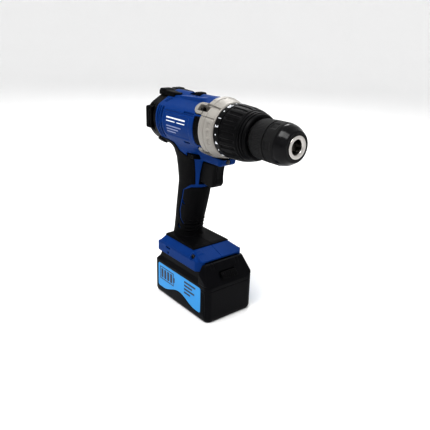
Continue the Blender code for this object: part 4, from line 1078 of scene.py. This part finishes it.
def make_labels():
    """A plain label on each side of the pack, with a battery gauge and a few lines."""
    label = plate_on_side("label_right", LABEL_OUTLINE, LABEL_SINK, LABEL_SINK - 0.15)
    near, far = -TUB_HIGH[1] + 0.2, -TUB_HIGH[1] + 0.05
    bars = [(x, 25.0, x + 4.6, 38.0) for x in (-44.0, -37.0, -30.0, -23.0)]
    frame_bars = [(-47.2, 22.2, -45.9, 40.8), (-16.3, 22.2, -15.0, 40.8),
                  (-45.9, 39.5, -16.3, 40.8), (-45.9, 22.2, -16.3, 23.5), (-15.0, 28.0, -12.6, 35.0)]
    lines = [(9.0, z, 9.0 + length, z + 2.4)
             for z, length in ((38.5, 24.0), (33.5, 17.0), (28.5, 22.0), (23.5, 13.0))]
    marks = slabs("label_marks_right", [((x0, far, z0), (x1, near, z1))
                                        for x0, z0, x1, z1 in bars + frame_bars + lines])
    for piece, look in ((label, "label"), (marks, "ink")):
        dress(mirrored(piece.name.replace("right", "left"), piece), look, "battery")
        dress(piece, look, "battery")


# ---- stage

def make_sweep():
    """A plain white floor that curves up into a wall, the same from every side."""
    bm = bmesh.new()
    around = 96
    bend = [(2500 + 900 * math.sin(t), 900 - 900 * math.cos(t))
            for t in np.linspace(0, math.pi / 2, 9)]
    rings = []
    for radius, height in [(600, 0), *bend, (3400, 2600)]:
        rings.append([bm.verts.new((radius * math.cos(2 * math.pi * k / around),
                                    radius * math.sin(2 * math.pi * k / around), height - 0.05))
                      for k in range(around)])
    bm.faces.new(rings[0])
    for a, b in zip(rings, rings[1:]):
        for k in range(around):
            n = (k + 1) % around
            bm.faces.new((a[k], b[k], b[n], a[n]))
    bmesh.ops.recalc_face_normals(bm, faces=bm.faces)
    sweep = from_bmesh("sweep", bm)
    sweep.data.shade_smooth()
    sweep.data.materials.append(
        paint("pale_floor", (0.9, 0.9, 0.9), 0.7, grain=30, bump=0.01, wear=0.01))


def make_lights():
    """Even light from all around, with a key light and a rim light above."""
    world = bpy.data.worlds.new("studio")
    world.use_nodes = True
    world.node_tree.nodes["Background"].inputs["Color"].default_value = (1, 1, 1, 1)
    world.node_tree.nodes["Background"].inputs["Strength"].default_value = 0.95
    bpy.context.scene.world = world
    for name, place, size, power in (
            ("key", (0.2, -0.7, 1.6), 0.8, 22), ("rim", (-0.9, 0.8, 1.3), 0.7, 8)):
        light = bpy.data.lights.new(name, "AREA")
        light.size = size
        light.energy = power
        lamp = new_object(name, light)
        lamp.location = place
        aim = Vector((0.02, 0, 0.15)) - lamp.location
        lamp.rotation_euler = aim.to_track_quat("-Z", "Y").to_euler()
    bpy.context.scene.view_settings.view_transform = "Standard"
    bpy.context.scene.view_settings.gamma = 0.8


def make_camera():
    """A camera in front of the tool and to its right, rolled by a small angle."""
    azimuth = math.radians(CAMERA_AZIMUTH)
    elevation = math.radians(CAMERA_ELEVATION)
    roll = math.radians(CAMERA_ROLL)
    target = Vector(CAMERA_TARGET) * MM
    back = Vector((math.sin(azimuth) * math.cos(elevation),
                   -math.cos(azimuth) * math.cos(elevation), math.sin(elevation)))
    data = bpy.data.cameras.new("camera")
    data.lens = CAMERA_LENS
    data.sensor_width = 36.0
    camera = new_object("camera", data)
    camera.location = target + back * CAMERA_DISTANCE * MM
    turn = back.to_track_quat("Z", "Y").to_matrix()
    camera.rotation_euler = (turn @ Matrix.Rotation(roll, 3, "Z")).to_euler()
    bpy.context.scene.camera = camera


def repaint_insides():
    planets = [f"planet_{s}_{k}" for s in (1, 2) for k in (1, 2, 3)]
    repaint("steel", "ring_gear", "gearbox_plate", "spindle_bearing", "planet_carrier",
            "output_spindle", "motor_pinion", "motor_shaft", "clutch_spring", "motor_can",
            "chuck_screw", "jaw_1", "jaw_2", "jaw_3", *planets)
    repaint("copper", "armature_core", "commutator")
    repaint("carbon", "brush_left", "brush_right")
    repaint("black", "switch_module", "terminal_block", "motor_end_cap", "cooling_fan")
    repaint("red", "supply_lead_red", "motor_lead_red")
    repaint("lead", "supply_lead_black", "motor_lead_black")
    repaint("cell", "cell_block")


LOOKS = make_materials()
make_camera()
make_sweep()
make_lights()
make_shells()
make_grips()
make_rear_cap()
make_grilles()
make_rear_stop()
make_pad()
make_barrel_marks()
make_gear_case()
make_collar()
make_chuck()
make_controls()
make_screws()
make_pack()
make_labels()
repaint_insides()
